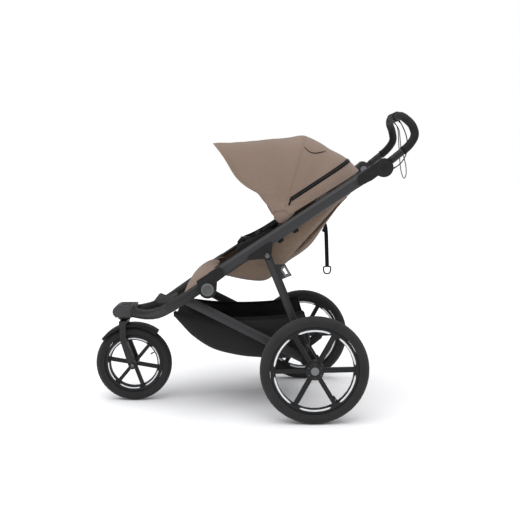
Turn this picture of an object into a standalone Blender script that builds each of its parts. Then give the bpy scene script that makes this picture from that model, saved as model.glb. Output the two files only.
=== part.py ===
"""Three-wheeled jogging stroller with a four-bar fold, a tilting handlebar, a folding canopy,
a reclining seat, a swivelling front wheel and a hand brake.

Axes: +Z up, the front wheel points to -Y, and the rider's left side is +X.
The origin lies on the floor, under the middle of the stroller.
"""
import math

import bmesh
import bpy
from mathutils import Matrix, Vector

# ---- driving dimensions, in metres -------------------------------------------------------------
GAP = 0.0003                       # kept between touching pieces

REAR_AXLE = (0.237, 0.200)         # places in the side view are (y, z)
REAR_RADIUS = 0.200
REAR_TRACK = 0.630                 # between the middles of the rear tyres
FRONT_AXLE = (-0.466, 0.1525)
FRONT_RADIUS = 0.1525
STEERING_Y = -0.502

FOLD_HUB = (-0.153, 0.489)
BRACE_PIVOT = (-0.238, 0.443)
LEG_PIVOT = (0.066, 0.613)
LEG_FOOT = (0.209, 0.262)
HANDLE_HUB = (0.487, 0.933)
TUBE_ANGLE = math.radians(33.5)    # rise of the upper frame tubes
TUBE_LIFT = 0.0265                 # from the fold hub up to the tube's centre line, square to it

FRAME_X = 0.235                    # middle of each side's frame tubes
TUBE_DEPTH = 0.044
TUBE_WIDTH = 0.028
BRACE_X = 0.205
BRACE_DEPTH = 0.036
BRACE_WIDTH = 0.023
LEG_DEPTH = 0.030
LEG_WIDTH = 0.024
HUB_RADIUS = 0.033
LUG_RADIUS = 0.029
AXLE_RADIUS = 0.012

CORE_RADIUS = 0.0128
GRIP_RADIUS = 0.0152
TWIST_RADIUS = 0.0190
CROSSBAR = (0.572, 1.132)

CANOPY_PIVOT = (0.117, 0.745)
CANOPY_WIDTH = 0.222               # half width of the hood
CANOPY_SHEET = 0.003
CANOPY_SPLIT = 96                  # degrees: where the front panel meets the rear one
SEAT_WIDTH = 0.175                 # half width of the seat cushions

BASKET_WIDTH = 0.176               # half width

PARTS = "jogging_stroller"
CUTTERS = "cutters"
SIDES = (("left", 1), ("right", -1))
SIDE_VIEW = Matrix(((0, 0, 1), (1, 0, 0), (0, 1, 0)))   # a flat outline's x, y, z become Y, Z, X
NO_CAPS = False


# ---- scene, materials ---------------------------------------------------------------------------
def clear_scene():
    for old in list(bpy.data.objects):
        bpy.data.objects.remove(old)
    for name in (PARTS, CUTTERS):
        bpy.context.scene.collection.children.link(bpy.data.collections.new(name))


def material(name, colour, roughness, metallic=0.0):
    made = bpy.data.materials.get(name)
    if made is None:
        made = bpy.data.materials.new(name)
        made.use_nodes = True
        shader = made.node_tree.nodes["Principled BSDF"]
        shader.inputs["Base Color"].default_value = (*colour, 1.0)
        shader.inputs["Roughness"].default_value = roughness
        shader.inputs["Metallic"].default_value = metallic
    return made


def frame_paint():
    return material("frame_paint", (0.035, 0.037, 0.040), 0.45, 0.3)


def moulding():
    return material("moulding", (0.022, 0.022, 0.024), 0.55)


def soft_rubber():
    return material("soft_rubber", (0.018, 0.018, 0.019), 0.85)


def tyre_rubber():
    return material("tyre_rubber", (0.035, 0.034, 0.036), 0.9)


def rim_metal():
    return material("rim_metal", (0.030, 0.031, 0.033), 0.35, 0.6)


def steel():
    return material("steel", (0.45, 0.45, 0.46), 0.3, 1.0)


def hood_fabric():
    return material("hood_fabric", (0.27, 0.20, 0.155), 0.9)


def seat_fabric():
    return material("seat_fabric", (0.25, 0.19, 0.15), 0.92)


def basket_fabric():
    return material("basket_fabric", (0.028, 0.027, 0.027), 0.95)


def webbing():
    return material("webbing", (0.015, 0.015, 0.016), 0.9)


# ---- modelling helpers --------------------------------------------------------------------------
def add(name, data, made_of, collection=PARTS):
    thing = bpy.data.objects.new(name, data)
    bpy.data.collections[collection].objects.link(thing)
    if made_of is not None:
        data.materials.append(made_of)
    return thing


def from_bmesh(name, shape, made_of, collection=PARTS, sharp=35):
    data = bpy.data.meshes.new(name)
    shape.to_mesh(data)
    shape.free()
    data.shade_smooth()
    data.set_sharp_from_angle(angle=math.radians(sharp))
    return add(name, data, made_of, collection)


def rod_shape(start, end, radius, sides=20):
    """A closed cylinder between two points."""
    start, end = Vector(start), Vector(end)
    shape = bmesh.new()
    bmesh.ops.create_cone(shape, cap_ends=True, segments=sides, radius1=radius, radius2=radius,
                          depth=(end - start).length)
    turn = (end - start).to_track_quat("Z", "Y").to_matrix().to_4x4()
    bmesh.ops.transform(shape, matrix=Matrix.Translation((start + end) / 2) @ turn, verts=shape.verts)
    return shape


def rod(name, start, end, radius, made_of, sides=20, collection=PARTS):
    return from_bmesh(name, rod_shape(start, end, radius, sides), made_of, collection)


def disc(name, place, x_low, x_high, radius, made_of, sides=24, collection=PARTS):
    """A cylinder along X at a place in the side view."""
    return rod(name, (x_low, *place), (x_high, *place), radius, made_of, sides, collection)


def block(name, low, high, made_of, collection=PARTS):
    low, high = Vector(low), Vector(high)
    shape = bmesh.new()
    size = Matrix.Diagonal((*(high - low), 1.0))
    bmesh.ops.create_cube(shape, size=1.0, matrix=Matrix.Translation((low + high) / 2) @ size)
    return from_bmesh(name, shape, made_of, collection)


def arc(centre, radius, start, end, points):
    """Points on an arc, with angles in degrees."""
    angles = [math.radians(start + (end - start) * n / (points - 1)) for n in range(points)]
    return [(centre[0] + radius * math.cos(a), centre[1] + radius * math.sin(a)) for a in angles]


def circle(centre, radius, points=24):
    return arc(centre, radius, 0, 360, points + 1)[:-1]


def side_plate(name, outline, x_low, x_high, made_of, holes=()):
    """A flat outline in the side view, as thick as the stretch of X that it fills."""
    data = bpy.data.curves.new(name, "CURVE")
    data.dimensions = "2D"
    data.fill_mode = "BOTH"
    data.extrude = (x_high - x_low) / 2
    for loop in (outline, *holes):
        spline = data.splines.new("POLY")
        spline.points.add(len(loop) - 1)
        spline.use_cyclic_u = True
        for point, (y, z) in zip(spline.points, loop):
            point.co = (y, z, 0, 1)
    plate = add(name, data, made_of)
    plate.matrix_world = Matrix.Translation(((x_low + x_high) / 2, 0, 0)) @ SIDE_VIEW.to_4x4()
    return plate


def smooth_path(points, steps):
    """A Catmull-Rom curve through the points, with the same number of steps between each two."""
    points = [Vector(p) for p in points]
    ends = [2 * points[0] - points[1], *points, 2 * points[-1] - points[-2]]
    made = []
    for a, b, c, d in zip(ends, ends[1:], ends[2:], ends[3:]):
        for n in range(steps):
            t = n / steps
            made.append(0.5 * (2 * b + (c - a) * t + (2 * a - 5 * b + 4 * c - d) * t ** 2
                               + (3 * b - a - 3 * c + d) * t ** 3))
    return [*made, points[-1]]


def tube(name, points, radius, made_of, resolution=3, closed=False, caps=True):
    """A round tube along points."""
    data = bpy.data.curves.new(name, "CURVE")
    data.dimensions = "3D"
    data.bevel_depth = radius
    data.bevel_resolution = resolution
    data.use_fill_caps = caps
    spline = data.splines.new("POLY")
    spline.points.add(len(points) - 1)
    spline.use_cyclic_u = closed
    for point, place in zip(spline.points, points):
        point.co = (*place, 1)
    return add(name, data, made_of)


def oval_tube(name, points, depth, width, made_of, resolution=3):
    """A tube that is deeper than it is wide: a round one, squeezed along X."""
    squeeze = width / depth
    wide = [(p[0] / squeeze, p[1], p[2]) for p in map(Vector, points)]
    made = tube(name, wide, depth / 2, made_of, resolution)
    made.scale = (squeeze, 1, 1)
    return made


def sleeve(name, points, radius, wall, made_of, resolution=4):
    """A hollow tube, open at both ends."""
    made = tube(name, points, radius, made_of, resolution, caps=NO_CAPS)
    shell = made.modifiers.new("wall", "SOLIDIFY")
    shell.thickness = wall
    shell.offset = -1
    return made


def turned(name, profile, place, made_of, closed=True, steps=32, collection=PARTS):
    """A profile of (radius, height) turned about Z, then laid with Z along world X at a place."""
    shape = bmesh.new()
    points = [shape.verts.new((radius, 0, height)) for radius, height in profile]
    for a, b in zip(points, points[1:]):
        shape.edges.new((a, b))
    if closed:
        shape.edges.new((points[-1], points[0]))
    data = bpy.data.meshes.new(name)
    shape.to_mesh(data)
    shape.free()
    made = add(name, data, made_of, collection)
    screw = made.modifiers.new("turn", "SCREW")
    screw.steps = steps
    screw.render_steps = steps
    screw.use_merge_vertices = True
    screw.merge_threshold = 0.00005
    made.matrix_world = Matrix.Translation(place) @ Matrix.Rotation(math.pi / 2, 4, "Y")
    return made


def as_mesh(thing):
    """The same shape as a plain mesh object, welded, with its placement kept."""
    graph = bpy.context.evaluated_depsgraph_get()
    name = thing.name
    data = bpy.data.meshes.new_from_object(thing.evaluated_get(graph))
    place = thing.matrix_world.copy()
    home = thing.users_collection[0]
    bpy.data.objects.remove(thing)
    shape = bmesh.new()
    shape.from_mesh(data)
    bmesh.ops.transform(shape, matrix=place, verts=shape.verts)
    bmesh.ops.remove_doubles(shape, verts=shape.verts, dist=0.00001)
    shape.to_mesh(data)
    shape.free()
    data.shade_smooth()
    data.set_sharp_from_angle(angle=math.radians(35))
    made = bpy.data.objects.new(name, data)
    home.objects.link(made)
    return made


def combine(thing, tool, how):
    """Join a tool to a mesh or cut it away, with the tool kept as a guide."""
    tool = as_mesh(tool)
    for home in list(tool.users_collection):
        home.objects.unlink(tool)
    bpy.data.collections[CUTTERS].objects.link(tool)
    tool.hide_render = True
    tool.display_type = "WIRE"
    step = thing.modifiers.new(how.lower(), "BOOLEAN")
    step.operation = how
    step.object = tool
    return thing


def join(thing, *tools):
    for tool in tools:
        combine(thing, tool, "UNION")
    return thing


def cut(thing, *tools):
    for tool in tools:
        combine(thing, tool, "DIFFERENCE")
    return thing


def along_tube(distance, lift, start=FOLD_HUB):
    """A place in the side view, measured along the upper tube and square to it."""
    c, s = math.cos(TUBE_ANGLE), math.sin(TUBE_ANGLE)
    return (start[0] + distance * c - lift * s, start[1] + distance * s + lift * c)


def mirrored(points, side):
    return [(side * x, y, z) for x, y, z in points]


def span(side, inner, outer):
    """The two ends of a stretch of X on one side, low end first."""
    return (inner, outer) if side > 0 else (-outer, -inner)


# ---- front frame --------------------------------------------------------------------------------
FRONT_TUBE_PATH = [
    (0.235, -0.1565, 0.5088), (0.235, -0.207, 0.4755), (0.232, -0.252, 0.4450), (0.212, -0.300, 0.4130),
    (0.160, -0.350, 0.3830), (0.092, -0.405, 0.3660), (0.040, -0.4520, 0.3640), (0.027, -0.4665, 0.3640),
]
HEAD_BOTTOM = 0.345
HEAD_TOP = 0.395
HEAD_HALF_WIDTH = 0.041
STEM_RADIUS = 0.010
LOCK_RING_TOP = HEAD_BOTTOM - 0.0005
LOCK_RING_HEIGHT = 0.0130


def front_tube(name, side):
    path = mirrored(smooth_path(FRONT_TUBE_PATH, 2), side)
    made = as_mesh(oval_tube(name, path, TUBE_DEPTH - 0.004, TUBE_WIDTH, frame_paint()))
    lug = disc(name + "_lug", FOLD_HUB, *span(side, FRAME_X - 0.0125, FRAME_X + 0.0125), LUG_RADIUS,
               None)
    stud = disc(name + "_stud", BRACE_PIVOT, *span(side, BRACE_X - 0.014, FRAME_X - 0.004), 0.005, None, 16)
    bore = disc(name + "_bore", FOLD_HUB, *span(side, FRAME_X - 0.03, FRAME_X + 0.03), 0.0090, None)
    head_side = HEAD_HALF_WIDTH + GAP
    trim = block(name + "_trim", (-head_side, -0.60, 0.30), (head_side, -0.40, 0.45), None)
    return cut(join(made, lug, stud), bore, trim)


def head_block():
    """The casting that takes the fork's stem: a sloping nose with a flat back."""
    back = STEERING_Y + 0.0510
    nose = [(-0.5180, HEAD_TOP), (-0.5320, 0.3880), (-0.5405, 0.3780), (-0.5430, 0.3670), (-0.5400, 0.3560),
            (-0.5310, HEAD_BOTTOM)]
    outline = [(back, HEAD_TOP), *nose, (back, HEAD_BOTTOM)]
    made = as_mesh(side_plate("head_block", outline, -HEAD_HALF_WIDTH, HEAD_HALF_WIDTH, moulding()))
    bore = rod("stem_bore", (0, STEERING_Y, HEAD_BOTTOM - 0.01), (0, STEERING_Y, 0.388),
               STEM_RADIUS + 0.0008, None)
    return cut(made, bore)


def swivel_lock_ring():
    """The knurled ring under the head that locks the swivel."""
    ring = [(0.0255, LOCK_RING_HEIGHT), (0.0255, 0.004), (0.0215, 0), (0.0112, 0), (0.0112, LOCK_RING_HEIGHT)]
    made = turned("swivel_lock_ring", ring, (0, 0, 0), moulding(), steps=24)
    made.matrix_world = Matrix.Translation((0, STEERING_Y, LOCK_RING_TOP - LOCK_RING_HEIGHT))
    return made


def footrest():
    """A step between the front tubes, with a rolled front lip and an ear that reaches each tube."""
    bottom, deck = 0.3985, 0.4140
    lip = arc((-0.3660, deck - 0.0040), 0.0110, 200, 50, 7)
    outline = [(-0.3750, bottom), *lip, (-0.3480, deck), (-0.3240, deck), (-0.3060, 0.4240), (-0.2980, 0.4230),
               (-0.2960, 0.4160), (-0.3020, bottom)]
    made = as_mesh(side_plate("footrest", outline, -0.104, 0.104, soft_rubber()))
    ears = block("footrest_ears", (-0.1680, -0.3200, 0.4010), (0.1680, -0.3040, 0.4110), None)
    return join(made, ears)


def legrest():
    """The padded calf rest below the seat's front edge."""
    outline = [(-0.126, 0.5725), (-0.150, 0.560), (-0.196, 0.512), (-0.240, 0.462), (-0.228, 0.452),
               (-0.188, 0.487), (-0.140, 0.538), (-0.128, 0.553)]
    return side_plate("legrest", outline, -SEAT_WIDTH + 0.02, SEAT_WIDTH - 0.02, seat_fabric())


# ---- upper frame --------------------------------------------------------------------------------
TUBE_START = 0.0350
TUBE_END_CLEARANCE = 0.0335


def upper_tube(name, side):
    length = math.dist(FOLD_HUB, HANDLE_HUB) - TUBE_END_CLEARANCE
    path = [(side * FRAME_X, *along_tube(s, TUBE_LIFT)) for s in (TUBE_START, length)]
    return oval_tube(name, path, TUBE_DEPTH, TUBE_WIDTH, frame_paint(), 4)


def fold_hub(name, side):
    """The cheek plate of the fold hinge: a disc that runs out along the upper tube."""
    low, high = TUBE_LIFT - TUBE_DEPTH / 2, TUBE_LIFT + TUBE_DEPTH / 2
    tilt = math.degrees(TUBE_ANGLE)
    round_end = arc(FOLD_HUB, HUB_RADIUS, tilt + 150, tilt + 318, 14)
    outline = [along_tube(0.085, high - 0.004), along_tube(0.070, high), along_tube(-0.016, high),
               *round_end, along_tube(0.045, low), along_tube(0.080, low + 0.002)]
    return side_plate(name, outline, *span(side, 0.2495, 0.2620), moulding(),
                      [circle(FOLD_HUB, 0.0090, 16)])


def fold_axle():
    """The cross shaft of the fold hinge, with a broad cap over each cheek."""
    cap, shaft = 0.0235, 0.0082
    profile = [(0, 0.2662), (cap - 0.001, 0.2662), (cap, 0.2652), (cap, 0.2623), (shaft, 0.2623),
               (shaft, -0.2623), (cap, -0.2623), (cap, -0.2652), (cap - 0.001, -0.2662), (0, -0.2662)]
    return turned("fold_axle", profile, (0, *FOLD_HUB), rim_metal(), closed=False, steps=24)


def leg_bracket(name, side):
    """A plate on the tube's outer side that carries the rear leg's pivot pin."""
    tilt = math.degrees(TUBE_ANGLE)
    outline = [along_tube(0.292, TUBE_LIFT - 0.018), along_tube(0.284, TUBE_LIFT - 0.009),
               along_tube(0.192, TUBE_LIFT - 0.009), along_tube(0.182, TUBE_LIFT - 0.018),
               *arc(LEG_PIVOT, 0.016, tilt + 190, tilt + 350, 9)]
    made = as_mesh(side_plate(name, outline, *span(side, 0.2495, 0.2545), moulding()))
    pin = disc(name + "_pin", LEG_PIVOT, *span(side, 0.2215, 0.2520), 0.005, None, 16)
    return join(made, pin)


def handle_hub(name, side):
    """The outer housing of the handlebar's hinge, on the end of the upper tube."""
    tail = HANDLE_HUB[0] - 0.085
    outline = [along_tube(-0.095, 0.028, HANDLE_HUB), along_tube(-0.010, 0.030, HANDLE_HUB),
               *arc(HANDLE_HUB, 0.0345, 105, -125, 16),
               along_tube(-0.060, -0.014, HANDLE_HUB), (tail, HANDLE_HUB[1] - 0.0665)]
    return side_plate(name, outline, *span(side, 0.2495, 0.2630), moulding())


def seat_base():
    outline = [(-0.122, 0.5780), (-0.100, 0.596), (-0.040, 0.604), (0.040, 0.598), (0.092, 0.592), (0.098, 0.573),
               (0.086, 0.528), (0.045, 0.510), (-0.020, 0.514), (-0.082, 0.526), (-0.122, 0.552)]
    return side_plate("seat_base", outline, -SEAT_WIDTH, SEAT_WIDTH, seat_fabric())


# ---- seat back ----------------------------------------------------------------------------------
def seat_back():
    front = [(0.112, 0.600), (0.160, 0.665), (0.250, 0.765), (0.345, 0.866)]
    back = [(0.372, 0.868), (0.384, 0.842), (0.337, 0.772), (0.272, 0.690), (0.228, 0.628),
            (0.170, 0.586), (0.127, 0.563), (0.112, 0.570)]
    return side_plate("seat_back", front + back, -SEAT_WIDTH, SEAT_WIDTH, seat_fabric())


RECLINE_STRAP_PATH = [
    (0, 0.2990, 0.7165), (0, 0.3040, 0.7060), (0, 0.3070, 0.6850), (0, 0.3090, 0.6500), (0, 0.3105, 0.6100),
    (0, 0.3120, 0.5700), (0, 0.3130, 0.5465),
]
STRAP_RADIUS = 0.0048
D_RING_PLACE = (0.3130, 0.5290)
D_RING_RADIUS = 0.0143


def recline_strap():
    """The free end of the recline strap, which hangs behind the seat."""
    return tube("recline_strap", smooth_path(RECLINE_STRAP_PATH, 3), STRAP_RADIUS, webbing(), 2)


def d_ring():
    ring = [(0, *place) for place in circle(D_RING_PLACE, D_RING_RADIUS, 18)]
    return tube("d_ring", ring, 0.0021, steel(), 2, closed=True)


BUCKLE_BOTTOM = 0.650
BUCKLE_TOP = 0.663
BUCKLE_Y = -0.014


def crotch_strap():
    """The padded strap that stands up from the seat and carries the buckle."""
    outline = [(-0.036, 0.6055), (-0.040, 0.620), (-0.027, 0.6495), (-0.016, 0.6495), (-0.031, 0.620),
               (-0.026, 0.6055)]
    return side_plate("crotch_strap", outline, -0.019, 0.019, webbing())


def harness_buckle():
    """The buckle's body, with its button's well."""
    low = (-0.026, BUCKLE_Y - 0.020, BUCKLE_BOTTOM)
    high = (0.026, BUCKLE_Y + 0.020, BUCKLE_TOP)
    made = as_mesh(block("harness_buckle", low, high, moulding()))
    well = rod("buckle_well", (0, BUCKLE_Y, BUCKLE_TOP - 0.006), (0, BUCKLE_Y, BUCKLE_TOP + 0.01), 0.0095, None)
    return cut(made, well)


def buckle_button():
    return rod("buckle_button", (0, BUCKLE_Y, BUCKLE_TOP - 0.002), (0, BUCKLE_Y, BUCKLE_TOP + 0.002), 0.0088,
               steel())


def shoulder_strap(name, side):
    """A padded strap from the buckle to its slot in the seat back."""
    top = [(0.010, 0.6610), (0.063, 0.6950), (0.115, 0.7280), (0.175, 0.7440), (0.2350, 0.7530)]
    under = [(0.2330, 0.7485), (0.172, 0.7380), (0.112, 0.7200), (0.066, 0.6870), (0.010, 0.6540)]
    return side_plate(name, top + under, *span(side, 0.028, 0.060), webbing())


# ---- handlebar ----------------------------------------------------------------------------------
HANDLE_HALF_PATH = [
    (0.2215, 0.4980, 0.9430), (0.2215, 0.5480, 0.9830), (0.2170, 0.5860, 1.0160), (0.2060, 0.6075, 1.0520),
    (0.1900, 0.6010, 1.0880), (0.1570, 0.5850, 1.1140), (0.1120, 0.5760, 1.1285), (0.0600, *CROSSBAR),
]
GRIP_FROM = 4                      # the grip starts this many points along the smoothed half path
PATH_STEPS = 3
TWIST_HALF_LENGTH = 0.056
KNUCKLE_RADIUS = 0.0310


def handle_half(side):
    return mirrored(smooth_path(HANDLE_HALF_PATH, PATH_STEPS), side)


def handlebar_core():
    """The U-shaped bar, with its hinge knuckles and the wells of their release buttons."""
    left, right = handle_half(1), handle_half(-1)
    made = as_mesh(tube("handlebar_core", left + right[::-1], CORE_RADIUS, frame_paint()))
    for label, side in SIDES:
        knuckle = disc("knuckle_" + label, HANDLE_HUB, *span(side, 0.2085, 0.2490), KNUCKLE_RADIUS, None)
        well = disc("well_" + label, HANDLE_HUB, *span(side, 0.2000, 0.2140), 0.0148, None)
        cut(join(made, knuckle), well)
    return made


def handle_button(name, side):
    return disc(name, HANDLE_HUB, *span(side, 0.2045, 0.2095), 0.0140, moulding(), 24)


def handle_grip(name, side):
    path = handle_half(side)[GRIP_FROM:]
    return sleeve(name, path, GRIP_RADIUS, 0.0019, soft_rubber())


def twist_grip():
    """The hand brake: a fat sleeve that turns about the crossbar."""
    ends = [(-TWIST_HALF_LENGTH, *CROSSBAR), (TWIST_HALF_LENGTH, *CROSSBAR)]
    return sleeve("twist_grip", ends, TWIST_RADIUS, TWIST_RADIUS - CORE_RADIUS - 0.0007, soft_rubber(), 6)


BRAKE_CABLE_PATH = [
    (0.0220, 0.5865, 1.1155), (0.0300, 0.5920, 1.1080), (0.0450, 0.6027, 1.0810), (0.0700, 0.6081, 1.0468),
    (0.0950, 0.6046, 1.0131), (0.1250, 0.5933, 0.9824), (0.1500, 0.5751, 0.9577), (0.1780, 0.5500, 0.9390),
    (0.2105, 0.5210, 0.9270),
]
CABLE_RADIUS = 0.0022
WRIST_STRAP_PATH = [
    (-0.0850, 0.5865, 1.1190), (-0.0850, 0.6000, 1.1040), (-0.0850, 0.6060, 1.0775), (-0.0840, 0.6079, 1.0432),
    (-0.0830, 0.6127, 0.9801), (-0.0820, 0.6178, 0.9340), (-0.0810, 0.6254, 0.9051), (-0.0800, 0.6332, 0.8947),
    (-0.0790, 0.6399, 0.9109), (-0.0780, 0.6380, 0.9456), (-0.0770, 0.6285, 0.9801), (-0.0760, 0.6160, 1.0203),
    (-0.0750, 0.6110, 1.0600), (-0.0740, 0.6060, 1.0900), (-0.0730, 0.5870, 1.1190),
]
WRIST_STRAP_RADIUS = 0.0018


def brake_cable():
    """The brake's outer cable, from the twist grip to the left knuckle."""
    return tube("brake_cable", smooth_path(BRAKE_CABLE_PATH, 4), CABLE_RADIUS, soft_rubber(), 2)


def wrist_strap():
    """The safety loop, which hangs from the crossbar."""
    return tube("wrist_strap", smooth_path(WRIST_STRAP_PATH, 3), WRIST_STRAP_RADIUS, webbing(), 2)


# ---- canopy -------------------------------------------------------------------------------------
HOOD_SHAPE = [(31, 0.3525), (42, 0.342), (54, 0.3265), (64, 0.3250), (74, 0.3265), (82, 0.3110), (90, 0.3030),
              (98, 0.3010), (106, 0.3045), (115, 0.318), (124, 0.3415), (132, 0.3745)]  # bow angle, crown's radius
BOW_ACROSS = 19                    # points across each arch
BOW_RADIUS = 0.0045


def crown_radius(angle):
    for (a, ra), (b, rb) in zip(HOOD_SHAPE, HOOD_SHAPE[1:]):
        if angle <= b:
            return ra + (rb - ra) * (angle - a) / (b - a)
    return HOOD_SHAPE[-1][1]


def hood_arch(angle, points=BOW_ACROSS, inset=0.0):
    """One arch of the hood: a squared bow in the plane that stands at an angle from the pivot."""
    turn = math.radians(angle)
    reach = crown_radius(angle) - inset
    arch = []
    for n in range(points):
        t = math.pi * (0.006 + 0.988 * n / (points - 1))
        x = (CANOPY_WIDTH - inset) * math.copysign(abs(math.cos(t)) ** 0.45, math.cos(t))
        out = reach * math.sin(t) ** 0.55
        arch.append((x, CANOPY_PIVOT[0] + out * math.cos(turn), CANOPY_PIVOT[1] + out * math.sin(turn)))
    return arch


def sheet_of(name, rows, thickness, made_of):
    """An open surface through rows of points, thickened inwards."""
    shape = bmesh.new()
    grid = [[shape.verts.new(p) for p in row] for row in rows]
    for low, high in zip(grid, grid[1:]):
        for a, b, c, d in zip(low, low[1:], high[1:], high):
            shape.faces.new((a, b, c, d))
    made = from_bmesh(name, shape, made_of)
    shell = made.modifiers.new("thickness", "SOLIDIFY")
    shell.thickness = thickness
    shell.offset = -1
    return made


def hood_panel(name, first, last, steps):
    angles = [first + (last - first) * n / steps for n in range(steps + 1)]
    return sheet_of(name, [hood_arch(a) for a in angles], CANOPY_SHEET, hood_fabric())


def hood_bow(name, angle):
    arch = hood_arch(angle, 19, inset=CANOPY_SHEET + BOW_RADIUS + 0.0040)
    return tube(name, arch, BOW_RADIUS, frame_paint(), 2)


# ---- rear legs ----------------------------------------------------------------------------------
BOOT_RIBS = 6
LEG_TUBE_LENGTH = 0.285


def along_leg(distance):
    """A place in the side view, measured from the leg's pivot down the leg."""
    reach = math.dist(LEG_PIVOT, LEG_FOOT)
    return tuple(a + (b - a) * distance / reach for a, b in zip(LEG_PIVOT, LEG_FOOT))


def rear_leg(name, side):
    """The leg's oval tube, its strut and foot eye, and the square catch that locks the fold."""
    x = side * FRAME_X
    ends = [(x, *along_leg(s)) for s in (-0.011, LEG_TUBE_LENGTH)]
    made = as_mesh(oval_tube(name, ends, LEG_DEPTH, LEG_WIDTH, frame_paint()))
    strut = rod(name + "_strut", (x, *along_leg(LEG_TUBE_LENGTH - 0.01)), (x, *LEG_FOOT), 0.007, None, 16)
    eye = disc(name + "_eye", LEG_FOOT, *span(side, 0.2245, 0.2455), 0.015, None)
    catch = [(0.090, 0.5785), (0.1330, 0.5790), (0.1570, 0.5390), (0.1130, 0.5210)]
    window = [(0.1180, 0.5640), (0.1290, 0.5690), (0.1430, 0.5450), (0.1300, 0.5390)]
    hook = side_plate(name + "_catch", catch, *span(side, 0.2290, 0.2410), None, [window])
    bore = disc(name + "_bore", LEG_PIVOT, *span(side, 0.21, 0.26), 0.0056, None)
    return cut(join(made, strut, eye, hook), bore)


def strut_boot(name, side):
    """The rubber bellows over the strut's spring."""
    top, bottom = LEG_TUBE_LENGTH + 0.001, math.dist(LEG_PIVOT, LEG_FOOT) - 0.018
    length = bottom - top
    ribs = []
    for n in range(2 * BOOT_RIBS + 1):
        ribs.append((0.0185 if n % 2 else 0.0145, length * (0.5 - n / (2 * BOOT_RIBS))))
    profile = [*ribs, (0.0080, -length / 2), (0.0080, length / 2)]
    middle = (side * FRAME_X, *along_leg((top + bottom) / 2))
    made = turned(name, profile, (0, 0, 0), soft_rubber(), steps=18)
    down = Vector((0, *LEG_PIVOT)) - Vector((0, *LEG_FOOT))
    made.matrix_world = Matrix.Translation(middle) @ down.to_track_quat("Z", "X").to_matrix().to_4x4()
    return made


# ---- lower chassis ------------------------------------------------------------------------------
CARRIER_INNER = 0.1920
CARRIER_OUTER = 0.2220
BRACE_SHORT_OF_AXLE = 0.040


def brace(name, side):
    reach = math.dist(BRACE_PIVOT, REAR_AXLE)
    ends = []
    for s in (-0.014, reach - BRACE_SHORT_OF_AXLE):
        ends.append((side * BRACE_X, *(a + (b - a) * s / reach for a, b in zip(BRACE_PIVOT, REAR_AXLE))))
    made = as_mesh(oval_tube(name, ends, BRACE_DEPTH, BRACE_WIDTH, frame_paint()))
    bore = disc(name + "_bore", BRACE_PIVOT, *span(side, 0.18, 0.23), 0.0056, None)
    return cut(made, bore)


def axle_carrier(name, side):
    """The casting that holds the axle, with a nose for the brace and an ear beside the leg's foot."""
    slope = math.degrees(math.atan2(REAR_AXLE[1] - BRACE_PIVOT[1], REAR_AXLE[0] - BRACE_PIVOT[0]))
    half = BRACE_DEPTH / 2
    nose = [arc(REAR_AXLE, math.hypot(BRACE_SHORT_OF_AXLE - 0.001, half), slope + turn, slope + turn, 2)[0]
            for turn in (180 - 24.8, 180 + 24.8)]
    ear = arc(LEG_FOOT, 0.014, 20, 190, 8)
    heel = arc(REAR_AXLE, 0.023, 240, 390, 9)
    outline = [*ear, *nose, *heel]
    return side_plate(name, outline, *span(side, CARRIER_INNER, CARRIER_OUTER), moulding(),
                      [circle(REAR_AXLE, AXLE_RADIUS + GAP, 20)])


def rear_axle():
    """The cross tube between the carriers, with a stub through each wheel's hub."""
    profile = [(0, 0.3230), (0.0060, 0.3230), (0.0060, 0.2680), (AXLE_RADIUS, 0.2680),
               (AXLE_RADIUS, -0.2680), (0.0060, -0.2680), (0.0060, -0.3230), (0, -0.3230)]
    return turned("rear_axle", profile, (0, *REAR_AXLE), steel(), closed=False, steps=20)


BASKET_LINES = [(-0.284, 0.366, 0.398), (-0.262, 0.336, 0.405), (-0.216, 0.283, 0.412), (-0.139, 0.232, 0.416),
                (-0.036, 0.205, 0.404), (0.043, 0.197, 0.396), (0.110, 0.192, 0.392), (0.160, 0.204, 0.402),
                (0.184, 0.260, 0.408), (0.196, 0.330, 0.410)]        # y, keel and rim


def basket():
    """The fabric tub: its keel drops from the rim at the front and climbs back at the rear."""
    rows = []
    for y, keel, rim_height in BASKET_LINES:
        row = []
        for n in range(13):
            t = math.pi * n / 12
            x = BASKET_WIDTH * math.copysign(abs(math.cos(t)) ** 0.4, math.cos(t))
            row.append((x, y, rim_height - (rim_height - keel) * math.sin(t) ** 0.5))
        rows.append(row)
    return sheet_of("basket", rows, 0.003, basket_fabric())


def brake_pedal():
    """The parking brake's pedal, which turns on the rear axle."""
    arm = [(0.2500, 0.2190), (0.2760, 0.2440), (0.2830, 0.2600), (0.3070, 0.2430), (0.3020, 0.2300),
           (0.2600, 0.2040)]
    outline = [*arc(REAR_AXLE, 0.020, 10, -275, 12)[1:], *arm[:-1]]
    return side_plate("brake_pedal", outline, -0.130, -0.085, moulding(),
                      [circle(REAR_AXLE, AXLE_RADIUS + 0.0006, 20)])


# ---- wheels -------------------------------------------------------------------------------------
SPOKES = 6


def tyre(name, x, place, radius, bead, half_width):
    """A tyre with a round crown, sidewalls that narrow to the bead, and a flat seat."""
    middle, rise = (radius + bead) / 2, (radius - bead) / 2
    profile = []
    for n in range(11):
        t = math.radians(120 - 240 * n / 10)
        profile.append((middle + rise * math.cos(t), half_width * math.sin(t)))
    top = profile[0][1]
    profile += [(bead, -top * 0.9), (bead, top * 0.9)]
    return turned(name, profile, (x, *place), tyre_rubber(), steps=36)


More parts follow.
